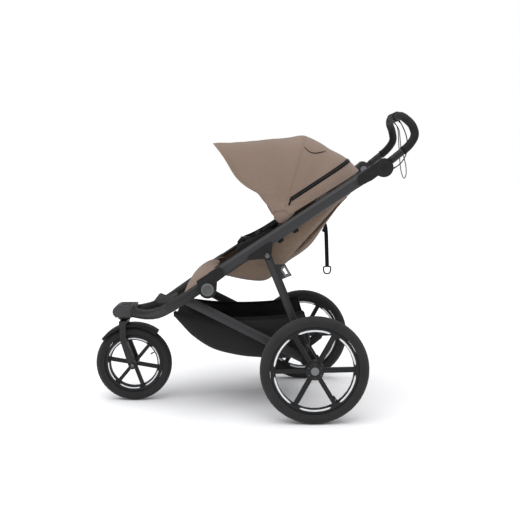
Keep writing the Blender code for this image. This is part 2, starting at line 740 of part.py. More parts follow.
def rim_channel(name, x, place, outer, inner, half_width):
    """The ring that the tyre sits in."""
    wall = 0.003
    profile = [(outer, half_width), (outer, half_width - wall), (outer - 0.005, half_width - 2 * wall),
               (outer - 0.005, -half_width + 2 * wall), (outer, -half_width + wall), (outer, -half_width),
               (inner + 0.003, -half_width), (inner, -half_width + 0.005), (inner, half_width - 0.005),
               (inner + 0.003, half_width)]
    return turned(name, profile, (x, *place), None, steps=32)


def spoke_window(place, inner, outer, middle_angle, spoke_width):
    """One opening between two spokes, with its corners cut by the spokes' straight sides."""
    half = math.radians(180 / SPOKES)
    near = math.degrees(half - math.asin(spoke_width / 2 / inner))
    far = math.degrees(half - math.asin(spoke_width / 2 / outer))
    return [*arc(place, outer, middle_angle - far, middle_angle + far, 6),
            *arc(place, inner, middle_angle + near, middle_angle - near, 4)]


def spoke_wheel(name, x_low, x_high, place, outer, band, hub, spoke_width, first_angle):
    """A cast wheel's centre as a flat plate: hub disc, six spokes and an outer band."""
    windows = [spoke_window(place, hub, outer - band, first_angle + (n + 0.5) * 360 / SPOKES, spoke_width)
               for n in range(SPOKES)]
    return as_mesh(side_plate(name, circle(place, outer, 36), x_low, x_high, rim_metal(), windows))


def rear_rim(name, side):
    """A rear wheel's rim, spokes and hub, moulded in one."""
    x = side * REAR_TRACK / 2
    made = spoke_wheel(name, x - 0.009, x + 0.009, REAR_AXLE, 0.1480, 0.0045, 0.0350, 0.0165, 1)
    hub = [(0.0210, 0.0170), (0.0340, 0.0140), (0.0340, -0.0300), (0.0300, -0.0455), (0.0067, -0.0455),
           (0.0067, 0.0085), (0.0158, 0.0085), (0.0158, 0.0170)]
    barrel = turned(name + "_hub", hub, (0, 0, 0), None)
    facing = Matrix.Rotation(side * math.pi / 2, 4, "Y")
    barrel.matrix_world = Matrix.Translation((x, *REAR_AXLE)) @ facing
    core = disc(name + "_core", REAR_AXLE, x - 0.03, x + 0.03, 0.0300, None)
    return join(cut(made, core), barrel, rim_channel(name + "_channel", x, REAR_AXLE, 0.1622, 0.1450, 0.0120))


def wheel_button(name, side):
    """The round button in the hub that lets the wheel off its axle."""
    x = REAR_TRACK / 2
    return disc(name, REAR_AXLE, *span(side, x + 0.0118, x + 0.0195), 0.0150, steel(), 24)


def front_rim():
    """The front wheel's rim, spokes and hub, moulded in one."""
    made = spoke_wheel("front_rim", -0.008, 0.008, FRONT_AXLE, 0.1035, 0.0045, 0.0180, 0.0140, 50)
    hub = [(0.0170, 0.0370), (0.0170, -0.0370), (0.0067, -0.0370), (0.0067, 0.0370)]
    barrel = turned("front_hub", hub, (0, *FRONT_AXLE), None, steps=24)
    core = disc("front_core", FRONT_AXLE, -0.03, 0.03, 0.0150, None)
    return join(cut(made, core), barrel, rim_channel("front_channel", 0, FRONT_AXLE, 0.1175, 0.1005, 0.0125))


# ---- fork ---------------------------------------------------------------------------------------
FORK_INNER = 0.0405
FORK_OUTER = 0.0540
FENDER_RADIUS = 0.1625
FENDER_SKIRT = 0.0110
CROWN_TOP = LOCK_RING_TOP - LOCK_RING_HEIGHT - 0.0010
CROWN_BOTTOM = CROWN_TOP - 0.0140


def fork():
    """Crown, stem and two swept legs in one casting."""
    made = as_mesh(block("fork", (-FORK_OUTER, STEERING_Y - 0.014, CROWN_BOTTOM),
                         (FORK_OUTER, STEERING_Y + 0.014, CROWN_TOP), frame_paint()))
    stem = rod("fork_stem", (0, STEERING_Y, CROWN_BOTTOM + 0.002), (0, STEERING_Y, 0.386), STEM_RADIUS, None)
    outline = [(STEERING_Y + 0.012, CROWN_TOP), (STEERING_Y - 0.011, CROWN_TOP), (STEERING_Y - 0.0120, 0.266),
               (STEERING_Y - 0.0085, 0.247), *arc(FRONT_AXLE, 0.0150, 200, 375, 10), (STEERING_Y + 0.0150, 0.250),
               (STEERING_Y + 0.0125, 0.270)]
    legs = [side_plate("fork_leg_" + label, outline, *span(side, FORK_INNER, FORK_OUTER), None)
            for label, side in SIDES]
    return join(made, stem, *legs)


def fender_band(name, outer, inner, first, last, half_width):
    outline = [*arc(FRONT_AXLE, outer, first, last, 18), *arc(FRONT_AXLE, inner, last, first, 18)]
    return side_plate(name, outline, -half_width, half_width, moulding())


def fender():
    """The mudguard: a curved top with a short skirt down each side."""
    inside = FENDER_RADIUS - FENDER_SKIRT
    made = as_mesh(fender_band("fender", FENDER_RADIUS, inside, 52, 140, 0.0345))
    hollow = fender_band("fender_hollow", FENDER_RADIUS - 0.0035, inside - 0.010, 48, 144, 0.0315)
    return cut(made, hollow)


def front_axle():
    return disc("front_axle", FRONT_AXLE, -FORK_INNER + GAP, FORK_INNER - GAP, 0.0060, steel(), 16)


# ---- the stroller -------------------------------------------------------------------------------
def build_front_frame():
    for label, side in SIDES:
        front_tube("front_tube_" + label, side)
    head_block()
    swivel_lock_ring()
    footrest()
    legrest()


def build_upper_frame():
    for label, side in SIDES:
        upper_tube("upper_tube_" + label, side)
        fold_hub("fold_hub_" + label, side)
        leg_bracket("leg_bracket_" + label, side)
        handle_hub("handle_hub_" + label, side)
    fold_axle()
    seat_base()
    seat_back()
    recline_strap()
    d_ring()
    crotch_strap()
    harness_buckle()
    buckle_button()
    for label, side in SIDES:
        shoulder_strap("shoulder_strap_" + label, side)


def build_handlebar():
    handlebar_core()
    twist_grip()
    brake_cable()
    wrist_strap()
    for label, side in SIDES:
        handle_grip("handle_grip_" + label, side)
        handle_button("handle_button_" + label, side)


def build_canopy():
    hood_panel("canopy_rear_panel", HOOD_SHAPE[0][0], CANOPY_SPLIT - 0.2, 6)
    hood_panel("canopy_front_panel", CANOPY_SPLIT + 0.2, HOOD_SHAPE[-1][0], 4)
    hood_bow("canopy_mid_bow", CANOPY_SPLIT - 14)
    hood_bow("canopy_front_bow", HOOD_SHAPE[-1][0] - 2)


def build_rear():
    rear_axle()
    basket()
    brake_pedal()
    for label, side in SIDES:
        rear_leg("rear_leg_" + label, side)
        strut_boot("strut_boot_" + label, side)
        brace("brace_" + label, side)
        axle_carrier("axle_carrier_" + label, side)


def build_wheels():
    for label, side in SIDES:
        x = side * REAR_TRACK / 2
        tyre("rear_tyre_" + label, x, REAR_AXLE, REAR_RADIUS, 0.1630, 0.0220)
        rear_rim("rear_rim_" + label, side)
        wheel_button("wheel_button_" + label, side)
    tyre("front_tyre", 0, FRONT_AXLE, FRONT_RADIUS, 0.1183, 0.0230)
    front_rim()


def build_fork():
    fork()
    fender()
    front_axle()


clear_scene()
build_front_frame()
build_upper_frame()
build_handlebar()
build_canopy()
build_rear()
build_wheels()
build_fork()
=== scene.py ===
import math
from functools import lru_cache

import bmesh
import bpy
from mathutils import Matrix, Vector


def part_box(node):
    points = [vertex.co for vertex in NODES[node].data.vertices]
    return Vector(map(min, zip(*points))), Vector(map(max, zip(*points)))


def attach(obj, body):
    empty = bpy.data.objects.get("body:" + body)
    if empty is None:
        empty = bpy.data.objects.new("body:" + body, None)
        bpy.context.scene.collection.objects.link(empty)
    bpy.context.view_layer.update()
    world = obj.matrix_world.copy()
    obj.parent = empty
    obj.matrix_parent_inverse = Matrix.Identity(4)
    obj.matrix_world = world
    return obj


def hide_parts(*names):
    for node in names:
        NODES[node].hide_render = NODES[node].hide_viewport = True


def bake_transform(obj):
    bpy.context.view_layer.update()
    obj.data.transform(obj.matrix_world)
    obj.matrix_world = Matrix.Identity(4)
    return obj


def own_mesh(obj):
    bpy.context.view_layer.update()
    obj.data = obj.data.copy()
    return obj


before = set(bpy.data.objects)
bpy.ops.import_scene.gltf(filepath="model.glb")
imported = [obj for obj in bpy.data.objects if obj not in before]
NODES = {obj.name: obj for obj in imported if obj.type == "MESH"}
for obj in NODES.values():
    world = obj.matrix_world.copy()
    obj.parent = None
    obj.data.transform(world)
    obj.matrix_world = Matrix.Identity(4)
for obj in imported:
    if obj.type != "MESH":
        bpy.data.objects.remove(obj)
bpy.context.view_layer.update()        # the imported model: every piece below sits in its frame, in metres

SIDES = (("left", 1), ("right", -1))

# ---- driving dimensions, the same ones as the CAD part ------------------------------------------
REAR_AXLE = (0.237, 0.2)         # places in the side view are (y, z)
REAR_RADIUS = 0.2
REAR_TRACK = 0.63
FRONT_AXLE = (-0.466, 0.1525)
FRONT_RADIUS = 0.1525
FOLD_HUB = (-0.153, 0.489)
BRACE_PIVOT = (-0.238, 0.443)
LEG_PIVOT = (0.066, 0.613)
HANDLE_HUB = (0.487, 0.933)
TUBE_ANGLE = math.radians(33.5)
CROSSBAR = (0.572, 1.132)
CANOPY_PIVOT = (0.117, 0.745)
CANOPY_WIDTH = 0.2215
BASKET_WIDTH = 0.176
HANDLE_HALF_PATH = [
    (0.2215, 0.498, 0.943), (0.2215, 0.548, 0.983), (0.217, 0.586, 1.016), (0.206, 0.6075, 1.052),
    (0.19, 0.601, 1.088), (0.157, 0.585, 1.114), (0.112, 0.576, 1.1285), (0.06, *CROSSBAR),
]


# ---- paths and shapes ---------------------------------------------------------------------------
def smooth_path(points, steps):
    """A Catmull-Rom curve through the points, with the same number of steps between each two."""
    points = [Vector(p) for p in points]
    ends = [2 * points[0] - points[1], *points, 2 * points[-1] - points[-2]]
    made = []
    for a, b, c, d in zip(ends, ends[1:], ends[2:], ends[3:]):
        for n in range(steps):
            t = n / steps
            made.append(0.5 * (2 * b + (c - a) * t + (2 * a - 5 * b + 4 * c - d) * t ** 2
                               + (3 * b - a - 3 * c + d) * t ** 3))
    return [*made, points[-1]]


def length_of(points):
    return sum((Vector(b) - Vector(a)).length for a, b in zip(points, points[1:]))


def evenly(points, count):
    """The same line with its points spread evenly."""
    points = [Vector(p) for p in points]
    reach = [0.0]
    for a, b in zip(points, points[1:]):
        reach.append(reach[-1] + (b - a).length)
    made = []
    place = 0
    for n in range(count):
        target = reach[-1] * n / (count - 1)
        while place < len(points) - 2 and reach[place + 1] < target:
            place += 1
        step = max(reach[place + 1] - reach[place], 1e-9)
        made.append(points[place].lerp(points[place + 1], (target - reach[place]) / step))
    return made


def side_path(places, x=0.0, steps=6):
    """A smooth path through places of the side view, at one x."""
    return smooth_path([(x, y, z) for y, z in places], steps)


def along_tube(distance, lift, start=FOLD_HUB):
    """A place in the side view, measured along the upper tube and square to it."""
    c, s = math.cos(TUBE_ANGLE), math.sin(TUBE_ANGLE)
    return (start[0] + distance * c - lift * s, start[1] + distance * s + lift * c)


def mirrored(points, side):
    return [Vector((side * x, y, z)) for x, y, z in points]


def ease(t):
    """A smooth step from 0 to 1."""
    t = min(max(t, 0.0), 1.0)
    return t * t * (3 - 2 * t)


def hump(value, middle, width):
    """1 at the middle, fading to nothing over a few widths."""
    return math.exp(-((value - middle) / width) ** 2)


# ---- meshes -------------------------------------------------------------------------------------
def piece(name, places, faces, made_of, body=None, smooth=True, sharp=None):
    data = bpy.data.meshes.new(name)
    data.from_pydata([tuple(p) for p in places], [], faces)
    data.validate()
    made = bpy.data.objects.new(name, data)
    bpy.context.scene.collection.objects.link(made)
    data.materials.append(made_of)
    if smooth:
        data.shade_smooth()
    if sharp is not None:
        data.set_sharp_from_angle(angle=math.radians(sharp))
    if body is not None:
        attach(made, body)
    return made


def grid_faces(rows, columns, round_rows=False, round_columns=False):
    faces = []
    for i in range(rows if round_rows else rows - 1):
        for j in range(columns if round_columns else columns - 1):
            i2, j2 = (i + 1) % rows, (j + 1) % columns
            faces.append((i * columns + j, i * columns + j2, i2 * columns + j2, i2 * columns + j))
    return faces


def grid(name, rows, made_of, body=None, round_rows=False, round_columns=False, caps=False, sharp=None):
    """A surface through rows of points. caps closes the first and the last row."""
    count = len(rows[0])
    faces = grid_faces(len(rows), count, round_rows, round_columns)
    if caps:
        faces.append(tuple(range(count))[::-1])
        last = (len(rows) - 1) * count
        faces.append(tuple(range(last, last + count)))
    made = piece(name, [p for row in rows for p in row], faces, made_of, None, True, sharp)
    face_outwards(made)
    if body is not None:
        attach(made, body)
    return made


def face_outwards(thing):
    shape = bmesh.new()
    shape.from_mesh(thing.data)
    bmesh.ops.recalc_face_normals(shape, faces=shape.faces)
    shape.to_mesh(thing.data)
    shape.free()


def lathe(name, profile, x, place, steps, made_of, body=None, facing=1, sharp=40, closed=False):
    """A profile of (radius, height) turned about an axis along X, with height towards facing."""
    rows = []
    for n in range(steps):
        turn = 2 * math.pi * n / steps
        rows.append([(x + facing * h, place[0] + r * math.cos(turn), place[1] + r * math.sin(turn))
                     for r, h in profile])
    return grid(name, rows, made_of, body, round_rows=True, round_columns=closed, sharp=sharp)


def rounded(width, thickness, corner, points=3):
    """A rounded rectangle as (across, lift) pairs."""
    made = []
    for sign_a, sign_b, start in ((1, 1, 0), (-1, 1, 90), (-1, -1, 180), (1, -1, 270)):
        middle = (sign_a * (width / 2 - corner), sign_b * (thickness / 2 - corner))
        for n in range(points):
            turn = math.radians(start + 90 * n / (points - 1))
            made.append((middle[0] + corner * math.cos(turn), middle[1] + corner * math.sin(turn)))
    return made


def ring_outline(radius, points=12):
    return [(radius * math.cos(2 * math.pi * n / points), radius * math.sin(2 * math.pi * n / points))
            for n in range(points)]


def tangents(path):
    ends = [path[0], *path, path[-1]]
    return [(c - a).normalized() for a, c in zip(ends, ends[2:])]


def sweep(name, path, across, outline, made_of, body=None, swell=None, closed=False, sharp=None):
    """An outline carried along a path. across is the width's direction: one vector or one for each point.
    swell scales the outline at each point."""
    path = [Vector(p) for p in path]
    if isinstance(across, (tuple, Vector)):
        across = [Vector(across)] * len(path)
    rows = []
    for n, (place, ahead, wide) in enumerate(zip(path, tangents(path), across)):
        wide = (wide - ahead * wide.dot(ahead)).normalized()
        lift = ahead.cross(wide)
        size = 1.0 if swell is None else swell(n / (len(path) - 1))
        rows.append([place + wide * a * size + lift * b * size for a, b in outline])
    return grid(name, rows, made_of, body, closed, True, not closed, sharp)


def level_sides(path):
    """Width directions that stay square to the path without twisting about it."""
    ahead = tangents(path)
    wide = ahead[0].orthogonal().normalized()
    made = []
    for direction in ahead:
        wide = (wide - direction * wide.dot(direction)).normalized()
        made.append(wide)
    return made


def cable(name, path, radius, made_of, body=None, swell=None, points=12):
    path = [Vector(p) for p in path]
    return sweep(name, path, level_sides(path), ring_outline(radius, points), made_of, body, swell)


def plate(name, outline, x_low, x_high, made_of, body=None, edge=0.001):
    """A flat outline of the side view, as thick as the stretch of X, with its edges rounded."""
    middle = (sum(y for y, z in outline) / len(outline), sum(z for y, z in outline) / len(outline))
    rows = []
    for x, shrink in ((x_low, edge), (x_low + edge, 0), (x_high - edge, 0), (x_high, edge)):
        row = []
        for y, z in outline:
            reach = max(math.dist((y, z), middle), 1e-6)
            keep = 1 - shrink / reach
            row.append((x, middle[0] + (y - middle[0]) * keep, middle[1] + (z - middle[1]) * keep))
        rows.append(row)
    return grid(name, rows, made_of, body, False, True, True, sharp=50)


def arc(centre, radius, start, end, points):
    angles = [math.radians(start + (end - start) * n / (points - 1)) for n in range(points)]
    return [(centre[0] + radius * math.cos(a), centre[1] + radius * math.sin(a)) for a in angles]


def settle(thing):
    """Turns the piece's modifiers into plain mesh."""
    graph = bpy.context.evaluated_depsgraph_get()
    data = bpy.data.meshes.new_from_object(thing.evaluated_get(graph))
    thing.modifiers.clear()
    thing.data = data
    return thing


def thicken(thing, thickness):
    """Gives a sheet its thickness, half of it on each side."""
    shell = thing.modifiers.new("thickness", "SOLIDIFY")
    shell.thickness = thickness
    shell.offset = 0
    settle(thing)
    thing.data.shade_smooth()


def soften(name, width):
    """Rounds the edges of a CAD node with modifiers, its own mesh left alone."""
    thing = NODES[name]
    weld = thing.modifiers.new("weld", "WELD")
    weld.merge_threshold = 0.00002
    bevel = thing.modifiers.new("rounded_edges", "BEVEL")
    bevel.width = width
    bevel.segments = 2
    bevel.limit_method = "ANGLE"
    bevel.angle_limit = math.radians(38)
    bevel.harden_normals = False
    thing.data.shade_smooth()


def joined(name, parts, body=None):
    """Several pieces made into one mesh."""
    shape = bmesh.new()
    made_of = parts[0].data.materials[0]
    for part in parts:
        shape.from_mesh(part.data)
        bpy.data.objects.remove(part)
    data = bpy.data.meshes.new(name)
    shape.to_mesh(data)
    shape.free()
    made = bpy.data.objects.new(name, data)
    bpy.context.scene.collection.objects.link(made)
    data.materials.append(made_of)
    if body is not None:
        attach(made, body)
    return made


def column(rows, n, side):
    """The points n places in from the rows' left ends, or from their right ends."""
    return [row[n if side > 0 else -1 - n] for row in rows]


def stitches(name, path, normals, made_of, pitch=0.006, length=0.0038, radius=0.0005, body=None):
    """A row of short raised threads along a path."""
    count = max(int(length_of(path) / pitch), 2)
    places = evenly(path, count)
    ups = evenly_directions(normals, count)
    rings, faces = [], []
    for place, ahead, up in zip(places, tangents(places), ups):
        wide = ahead.cross(up).normalized()
        start = len(rings)
        for along, size in ((-0.5, 0.45), (-0.3, 1.0), (0.3, 1.0), (0.5, 0.45)):
            for turn in range(4):
                angle = math.radians(45 + 90 * turn)
                rings.append(place + ahead * along * length + wide * radius * size * math.cos(angle)
                             + up * radius * size * math.sin(angle))
        for ring in range(3):
            for turn in range(4):
                a = start + 4 * ring
                faces.append((a + turn, a + (turn + 1) % 4, a + 4 + (turn + 1) % 4, a + 4 + turn))
        faces.append((start + 3, start + 2, start + 1, start))
        faces.append((start + 12, start + 13, start + 14, start + 15))
    return piece(name, rings, faces, made_of, body)


def evenly_directions(directions, count):
    """Directions for evenly spread places, taken from those at the path's own points."""
    if isinstance(directions, (tuple, Vector)):
        return [Vector(directions)] * count
    made = []
    for n in range(count):
        at = (len(directions) - 1) * n / (count - 1)
        low = min(int(at), len(directions) - 2)
        made.append(directions[low].lerp(directions[low + 1], at - low).normalized())
    return made


# ---- materials ----------------------------------------------------------------------------------
def shade(red, green, blue):
    """A colour given as it looks on a screen, from 0 to 255, as the linear values the shaders take."""
    linear = []
    for value in (red, green, blue):
        v = value / 255
        linear.append(v / 12.92 if v <= 0.04045 else ((v + 0.055) / 1.055) ** 2.4)
    return (*linear, 1.0)


def brighter(colour, times):
    """A colour made lighter, for edges that are rubbed bare."""
    return (*(min(1.0, value * times) for value in colour[:3]), 1.0)


class Surface:
    """One node material, built up step by step."""

    def __init__(self, name, roughness, metallic=0.0, **sockets):
        self.material = bpy.data.materials.new(name)
        self.material.use_nodes = True
        self.tree = self.material.node_tree
        self.shader = self.tree.nodes["Principled BSDF"]
        self.shader.inputs["Roughness"].default_value = roughness
        self.shader.inputs["Metallic"].default_value = metallic
        for socket, value in sockets.items():
            self.shader.inputs[socket.replace("_", " ").title().replace("Ior", "IOR")].default_value = value
        self.place = self.tree.nodes.new("ShaderNodeTexCoord").outputs["Object"]

    def node(self, kind, **settings):
        made = self.tree.nodes.new(kind)
        for setting, value in settings.items():
            setattr(made, setting, value)
        return made

    def connect(self, start, end):
        self.tree.links.new(start, end)

    def stretched(self, scale):
        mapping = self.node("ShaderNodeMapping")
        mapping.inputs["Scale"].default_value = scale
        self.connect(self.place, mapping.inputs["Vector"])
        return mapping.outputs["Vector"]

    def noise(self, scale, detail=2.0, stretch=(1, 1, 1)):
        made = self.node("ShaderNodeTexNoise")
        made.inputs["Scale"].default_value = scale
        made.inputs["Detail"].default_value = detail
        self.connect(self.stretched(stretch), made.inputs["Vector"])
        return made.outputs["Fac"]

    def cells(self, scale):
        made = self.node("ShaderNodeTexVoronoi")
        made.inputs["Scale"].default_value = scale
        self.connect(self.place, made.inputs["Vector"])
        return made.outputs["Distance"]

    def math(self, operation, first, second=None):
        made = self.node("ShaderNodeMath", operation=operation)
        for socket, value in zip(made.inputs, (first, second)):
            if isinstance(value, (int, float)):
                socket.default_value = value
            elif value is not None:
                self.connect(value, socket)
        return made.outputs[0]

    def mixed(self, first, first_share, second, second_share):
        """Two patterns added in their shares."""
        return self.math("ADD", self.math("MULTIPLY", first, first_share),
                         self.math("MULTIPLY", second, second_share))

    def weave(self, pitch):
        """Crossing yarns: a small wave along each axis, which any cut through it shows as a weave."""
        k = 2 * math.pi / pitch
        wave = self.node("ShaderNodeVectorMath", operation="SINE")
        self.connect(self.stretched((k, k, k)), wave.inputs[0])
        parts = self.node("ShaderNodeSeparateXYZ")
        self.connect(wave.outputs[0], parts.inputs[0])
        pair = self.math("ADD", parts.outputs[0], parts.outputs[1])
        return self.math("ADD", pair, parts.outputs[2])

    def ramp(self, factor, *stops):
        """Colours at places from 0 to 1."""
        made = self.node("ShaderNodeValToRGB")
        elements = made.color_ramp.elements
        elements[0].position, elements[0].color = stops[0]
        elements[1].position, elements[1].color = stops[-1]
        for position, colour in stops[1:-1]:
            elements.new(position).color = colour
        self.connect(factor, made.inputs["Fac"])
        return made.outputs["Color"]

    def blend(self, factor, first, second):
        made = self.node("ShaderNodeMix", data_type="RGBA")
        self.connect(factor, made.inputs["Factor"])
        for socket, value in ((made.inputs[6], first), (made.inputs[7], second)):
            if isinstance(value, tuple):
                socket.default_value = value
            else:
                self.connect(value, socket)
        return made.outputs[2]

    def colour(self, output):
        self.connect(output, self.shader.inputs["Base Color"])

    def roughness(self, factor, low, high):
        spread = self.math("MULTIPLY", factor, high - low)
        self.connect(self.math("ADD", spread, low), self.shader.inputs["Roughness"])

    def bump(self, height, strength, distance=0.001):
        made = self.node("ShaderNodeBump")
        made.inputs["Strength"].default_value = strength
        made.inputs["Distance"].default_value = distance
        self.connect(height, made.inputs["Height"])
        self.connect(made.outputs["Normal"], self.shader.inputs["Normal"])

    def worn_edges(self):
        """1 on sharp outer edges, 0 on flat ground."""
        bend = self.node("ShaderNodeNewGeometry").outputs["Pointiness"]
        spread = self.node("ShaderNodeMapRange")
        spread.inputs["From Min"].default_value = 0.52
        spread.inputs["From Max"].default_value = 0.6
        self.connect(bend, spread.inputs["Value"])
        return spread.outputs["Result"]


def woven(name, dark, light, pitch=0.0011, depth=0.3, roughness=0.88):
    """Heathered cloth: fine two-tone yarns, a visible weave and slight large-scale fading."""
    made = Surface(name, roughness, specular_ior_level=0.22, sheen_weight=0.9 * light[1],
                   sheen_roughness=0.55)
    yarn = made.noise(620, 3.0, (0.3, 1, 1))
    fade = made.noise(4.5, 2.0)
    weave = made.weave(pitch)
    tone = made.math("ADD", made.mixed(yarn, 0.55, fade, 0.45), made.math("MULTIPLY", weave, 0.035))
    made.colour(made.ramp(tone, (0.32, dark), (0.68, light)))
    made.roughness(yarn, roughness - 0.06, roughness + 0.08)
    made.bump(made.math("ADD", weave, made.math("MULTIPLY", yarn, 1.5)), depth, 0.0005)
    return made.material


def ribbed_webbing(name, dark, light):
    """Narrow woven tape with ribs across it."""
    made = Surface(name, 0.72, specular_ior_level=0.16, sheen_weight=0.9 * light[1], sheen_roughness=0.4)
    rib = made.weave(0.0016)
    yarn = made.noise(900, 2.0)
    tone = made.math("ADD", yarn, made.math("MULTIPLY", rib, 0.08))
    made.colour(made.ramp(tone, (0.3, dark), (0.75, light)))
    made.roughness(yarn, 0.62, 0.85)
    made.bump(rib, 0.5, 0.0004)
    return made.material


def powder_coat(name, dark, light, roughness=0.46, metallic=0.15):
    """Satin paint with a fine orange peel, sparkle and lighter rubbed edges."""
    made = Surface(name, roughness, metallic, specular_ior_level=0.3)
    peel = made.noise(520, 2.0)
    drift = made.noise(7, 3.0)
    base = made.ramp(made.mixed(peel, 0.5, drift, 0.5), (0.3, dark), (0.7, light))
    made.colour(made.blend(made.worn_edges(), base, brighter(light, 1.9)))
    made.roughness(drift, roughness - 0.08, roughness + 0.1)
    made.bump(peel, 0.1, 0.0004)
    return made.material


def moulded(name, dark, light, roughness=0.55):
    """Moulded plastic with a leathery grain and faint handling marks."""
    made = Surface(name, roughness, specular_ior_level=0.24)
    grain = made.cells(850)
    marks = made.noise(28, 4.0)
    base = made.ramp(marks, (0.3, dark), (0.72, light))
    made.colour(made.blend(made.worn_edges(), base, brighter(light, 1.7)))
    made.roughness(marks, roughness - 0.1, roughness + 0.12)
    made.bump(grain, 0.22, 0.0004)
    return made.material


def rubber(name, dark, light, roughness=0.82):
    """Rubber with a dusty bloom and a slightly uneven skin."""
    made = Surface(name, roughness, specular_ior_level=0.28, sheen_weight=0.05, sheen_roughness=0.6)
    skin = made.noise(420, 3.0)
    bloom = made.noise(11, 4.0)
    made.colour(made.ramp(made.mixed(skin, 0.35, bloom, 0.65), (0.34, dark), (0.66, light)))
    made.roughness(bloom, roughness - 0.1, roughness + 0.1)
    made.bump(skin, 0.25, 0.0005)
    return made.material


def foam(name, dark, light):
    """Closed-cell foam: small pores over a matt skin."""
    made = Surface(name, 0.85, specular_ior_level=0.22, sheen_weight=0.04, sheen_roughness=0.5)
    pores = made.cells(1100)
    patches = made.noise(35, 3.0)
    made.colour(made.ramp(patches, (0.3, dark), (0.7, light)))
    made.bump(made.math("ADD", pores, made.math("MULTIPLY", patches, 0.4)), 0.45, 0.0006)
    made.roughness(patches, 0.76, 0.92)
    return made.material


def brushed_steel(name, dark, light):
    """Bare metal with fine drawn lines."""
    made = Surface(name, 0.3, 1.0)
    lines = made.noise(260, 3.0, (1, 9, 9))
    made.colour(made.ramp(lines, (0.3, dark), (0.7, light)))
    made.roughness(lines, 0.22, 0.42)
    made.bump(lines, 0.08, 0.0002)
    return made.material


def reflective_tape():
    """Glass-bead tape: a fine honeycomb over light grey."""
    made = Surface("reflective_tape", 0.28, 0.25, coat_weight=0.4, coat_roughness=0.15)
    beads = made.cells(1400)
    patches = made.noise(40, 2.0)
    made.colour(made.ramp(made.mixed(beads, 0.4, patches, 0.6), (0.25, shade(196, 198, 200)),
                          (0.75, shade(236, 238, 240))))
    made.roughness(patches, 0.22, 0.38)
    made.bump(beads, 0.15, 0.0002)
    return made.material


def mesh_net(name, dark, light):
    """Coarse knitted cloth with small pits."""
    made = Surface(name, 0.9, specular_ior_level=0.18, sheen_weight=0.9 * light[1], sheen_roughness=0.6)
    pits = made.cells(480)
    fade = made.noise(9, 3.0)
    made.colour(made.ramp(made.mixed(pits, 0.5, fade, 0.6), (0.3, dark), (0.75, light)))
    made.bump(pits, 0.5, 0.0006)
    made.roughness(fade, 0.82, 0.96)
    return made.material


HOOD_CLOTH = woven("hood_cloth", shade(124, 105, 93), shade(141, 122, 109))
SEAT_CLOTH = woven("seat_cloth", shade(120, 101, 88), shade(138, 118, 104))
# a darker copy of the seat cloth for the seat's tub: painted shade, for the shadow of the hood and the tubes
# over it
SHADED_TUB_CLOTH = woven("tub_cloth_painted_shade", shade(111, 93, 79), shade(128, 109, 94))
LINING = mesh_net("seat_lining", shade(118, 101, 89), shade(138, 119, 106))
PIPING = woven("piping", shade(14, 14, 15), shade(34, 33, 34), 0.0009, 0.35)
CANVAS = woven("basket_canvas", shade(25, 24, 25), shade(41, 39, 40), 0.0013, 0.35, 0.8)
WEBBING = ribbed_webbing("webbing_tape", shade(16, 16, 17), shade(38, 37, 38))
PAD_CLOTH = mesh_net("harness_pad_cloth", shade(20, 20, 21), shade(40, 39, 40))
VENT_NET = mesh_net("vent_net", shade(44, 39, 36), shade(70, 62, 57))
# dark brown cloth for the strips in the seat's side folds: painted shade for the shadow in each groove
FOLD_SHADE_CLOTH = woven("fold_painted_shade", shade(50, 40, 33), shade(72, 58, 49))
ZIP_TAPE = ribbed_webbing("zip_tape", shade(9, 9, 10), shade(20, 19, 20))
ZIP_TEETH = moulded("zip_teeth", shade(12, 12, 13), shade(24, 24, 25), 0.45)
THREAD = woven("thread", shade(112, 96, 84), shade(140, 122, 108), 0.0006, 0.2)
DARK_THREAD = woven("dark_thread", shade(40, 38, 39), shade(66, 64, 65), 0.0006, 0.2)
TUBE_PAINT = powder_coat("tube_paint", shade(24, 24, 25), shade(36, 36, 37))
FORK_PAINT = powder_coat("fork_paint", shade(28, 28, 29), shade(40, 40, 41))
BOW_PAINT = powder_coat("bow_paint", shade(26, 26, 27), shade(36, 36, 37), 0.5)
RIM_PAINT = powder_coat("rim_paint", shade(18, 18, 19), shade(28, 28, 29), 0.4, 0.2)
PLASTIC = moulded("moulded_black", shade(15, 15, 16), shade(26, 26, 27))
# a grey lighter than the black plastic, so that the head's sides look lit: painted light; its top gets a dark
# plate of painted shade
HEAD_PAINTED_LIGHT = moulded("head_grey_painted_light", shade(40, 40, 41), shade(56, 56, 57), 0.5)
HUB_PLASTIC = moulded("moulded_grey", shade(70, 71, 72), shade(90, 91, 92), 0.5)
PALE_PLASTIC = moulded("moulded_pale", shade(78, 79, 81), shade(98, 99, 101), 0.5)
TYRE_RUBBER = rubber("tyre_rubber_worn", shade(28, 27, 27), shade(44, 42, 43))
BLACK_RUBBER = rubber("rubber_black", shade(20, 19, 20), shade(34, 33, 34))
GRIP_FOAM = foam("grip_foam", shade(22, 21, 22), shade(34, 33, 35))
STEEL = brushed_steel("brushed_steel", shade(150, 150, 152), shade(196, 196, 198))
DARK_STEEL = brushed_steel("dark_steel", shade(84, 84, 86), shade(120, 120, 122))
TAPE = reflective_tape()


# ---- camera -------------------------------------------------------------------------------------
CAMERA_PLACE = (2.943, -0.0071, 0.8958)
CAMERA_LENS = 51.2                 # millimetres, on a sensor as wide as SENSOR_WIDTH
SENSOR_WIDTH = 36
CAMERA_ASIDE, CAMERA_DOWN = 0.0172, 0.1104    # radians from looking straight along -X


def set_camera():
    eye = bpy.data.cameras.new("camera")
    eye.lens = CAMERA_LENS
    eye.sensor_width = SENSOR_WIDTH
    made = bpy.data.objects.new("camera", eye)
    bpy.context.scene.collection.objects.link(made)
    made.location = CAMERA_PLACE
    level = math.cos(CAMERA_DOWN)
    forward = Vector((-level * math.cos(CAMERA_ASIDE), level * math.sin(CAMERA_ASIDE),
                      -math.sin(CAMERA_DOWN)))
    made.rotation_euler = forward.to_track_quat("-Z", "Y").to_euler()
    bpy.context.scene.camera = made


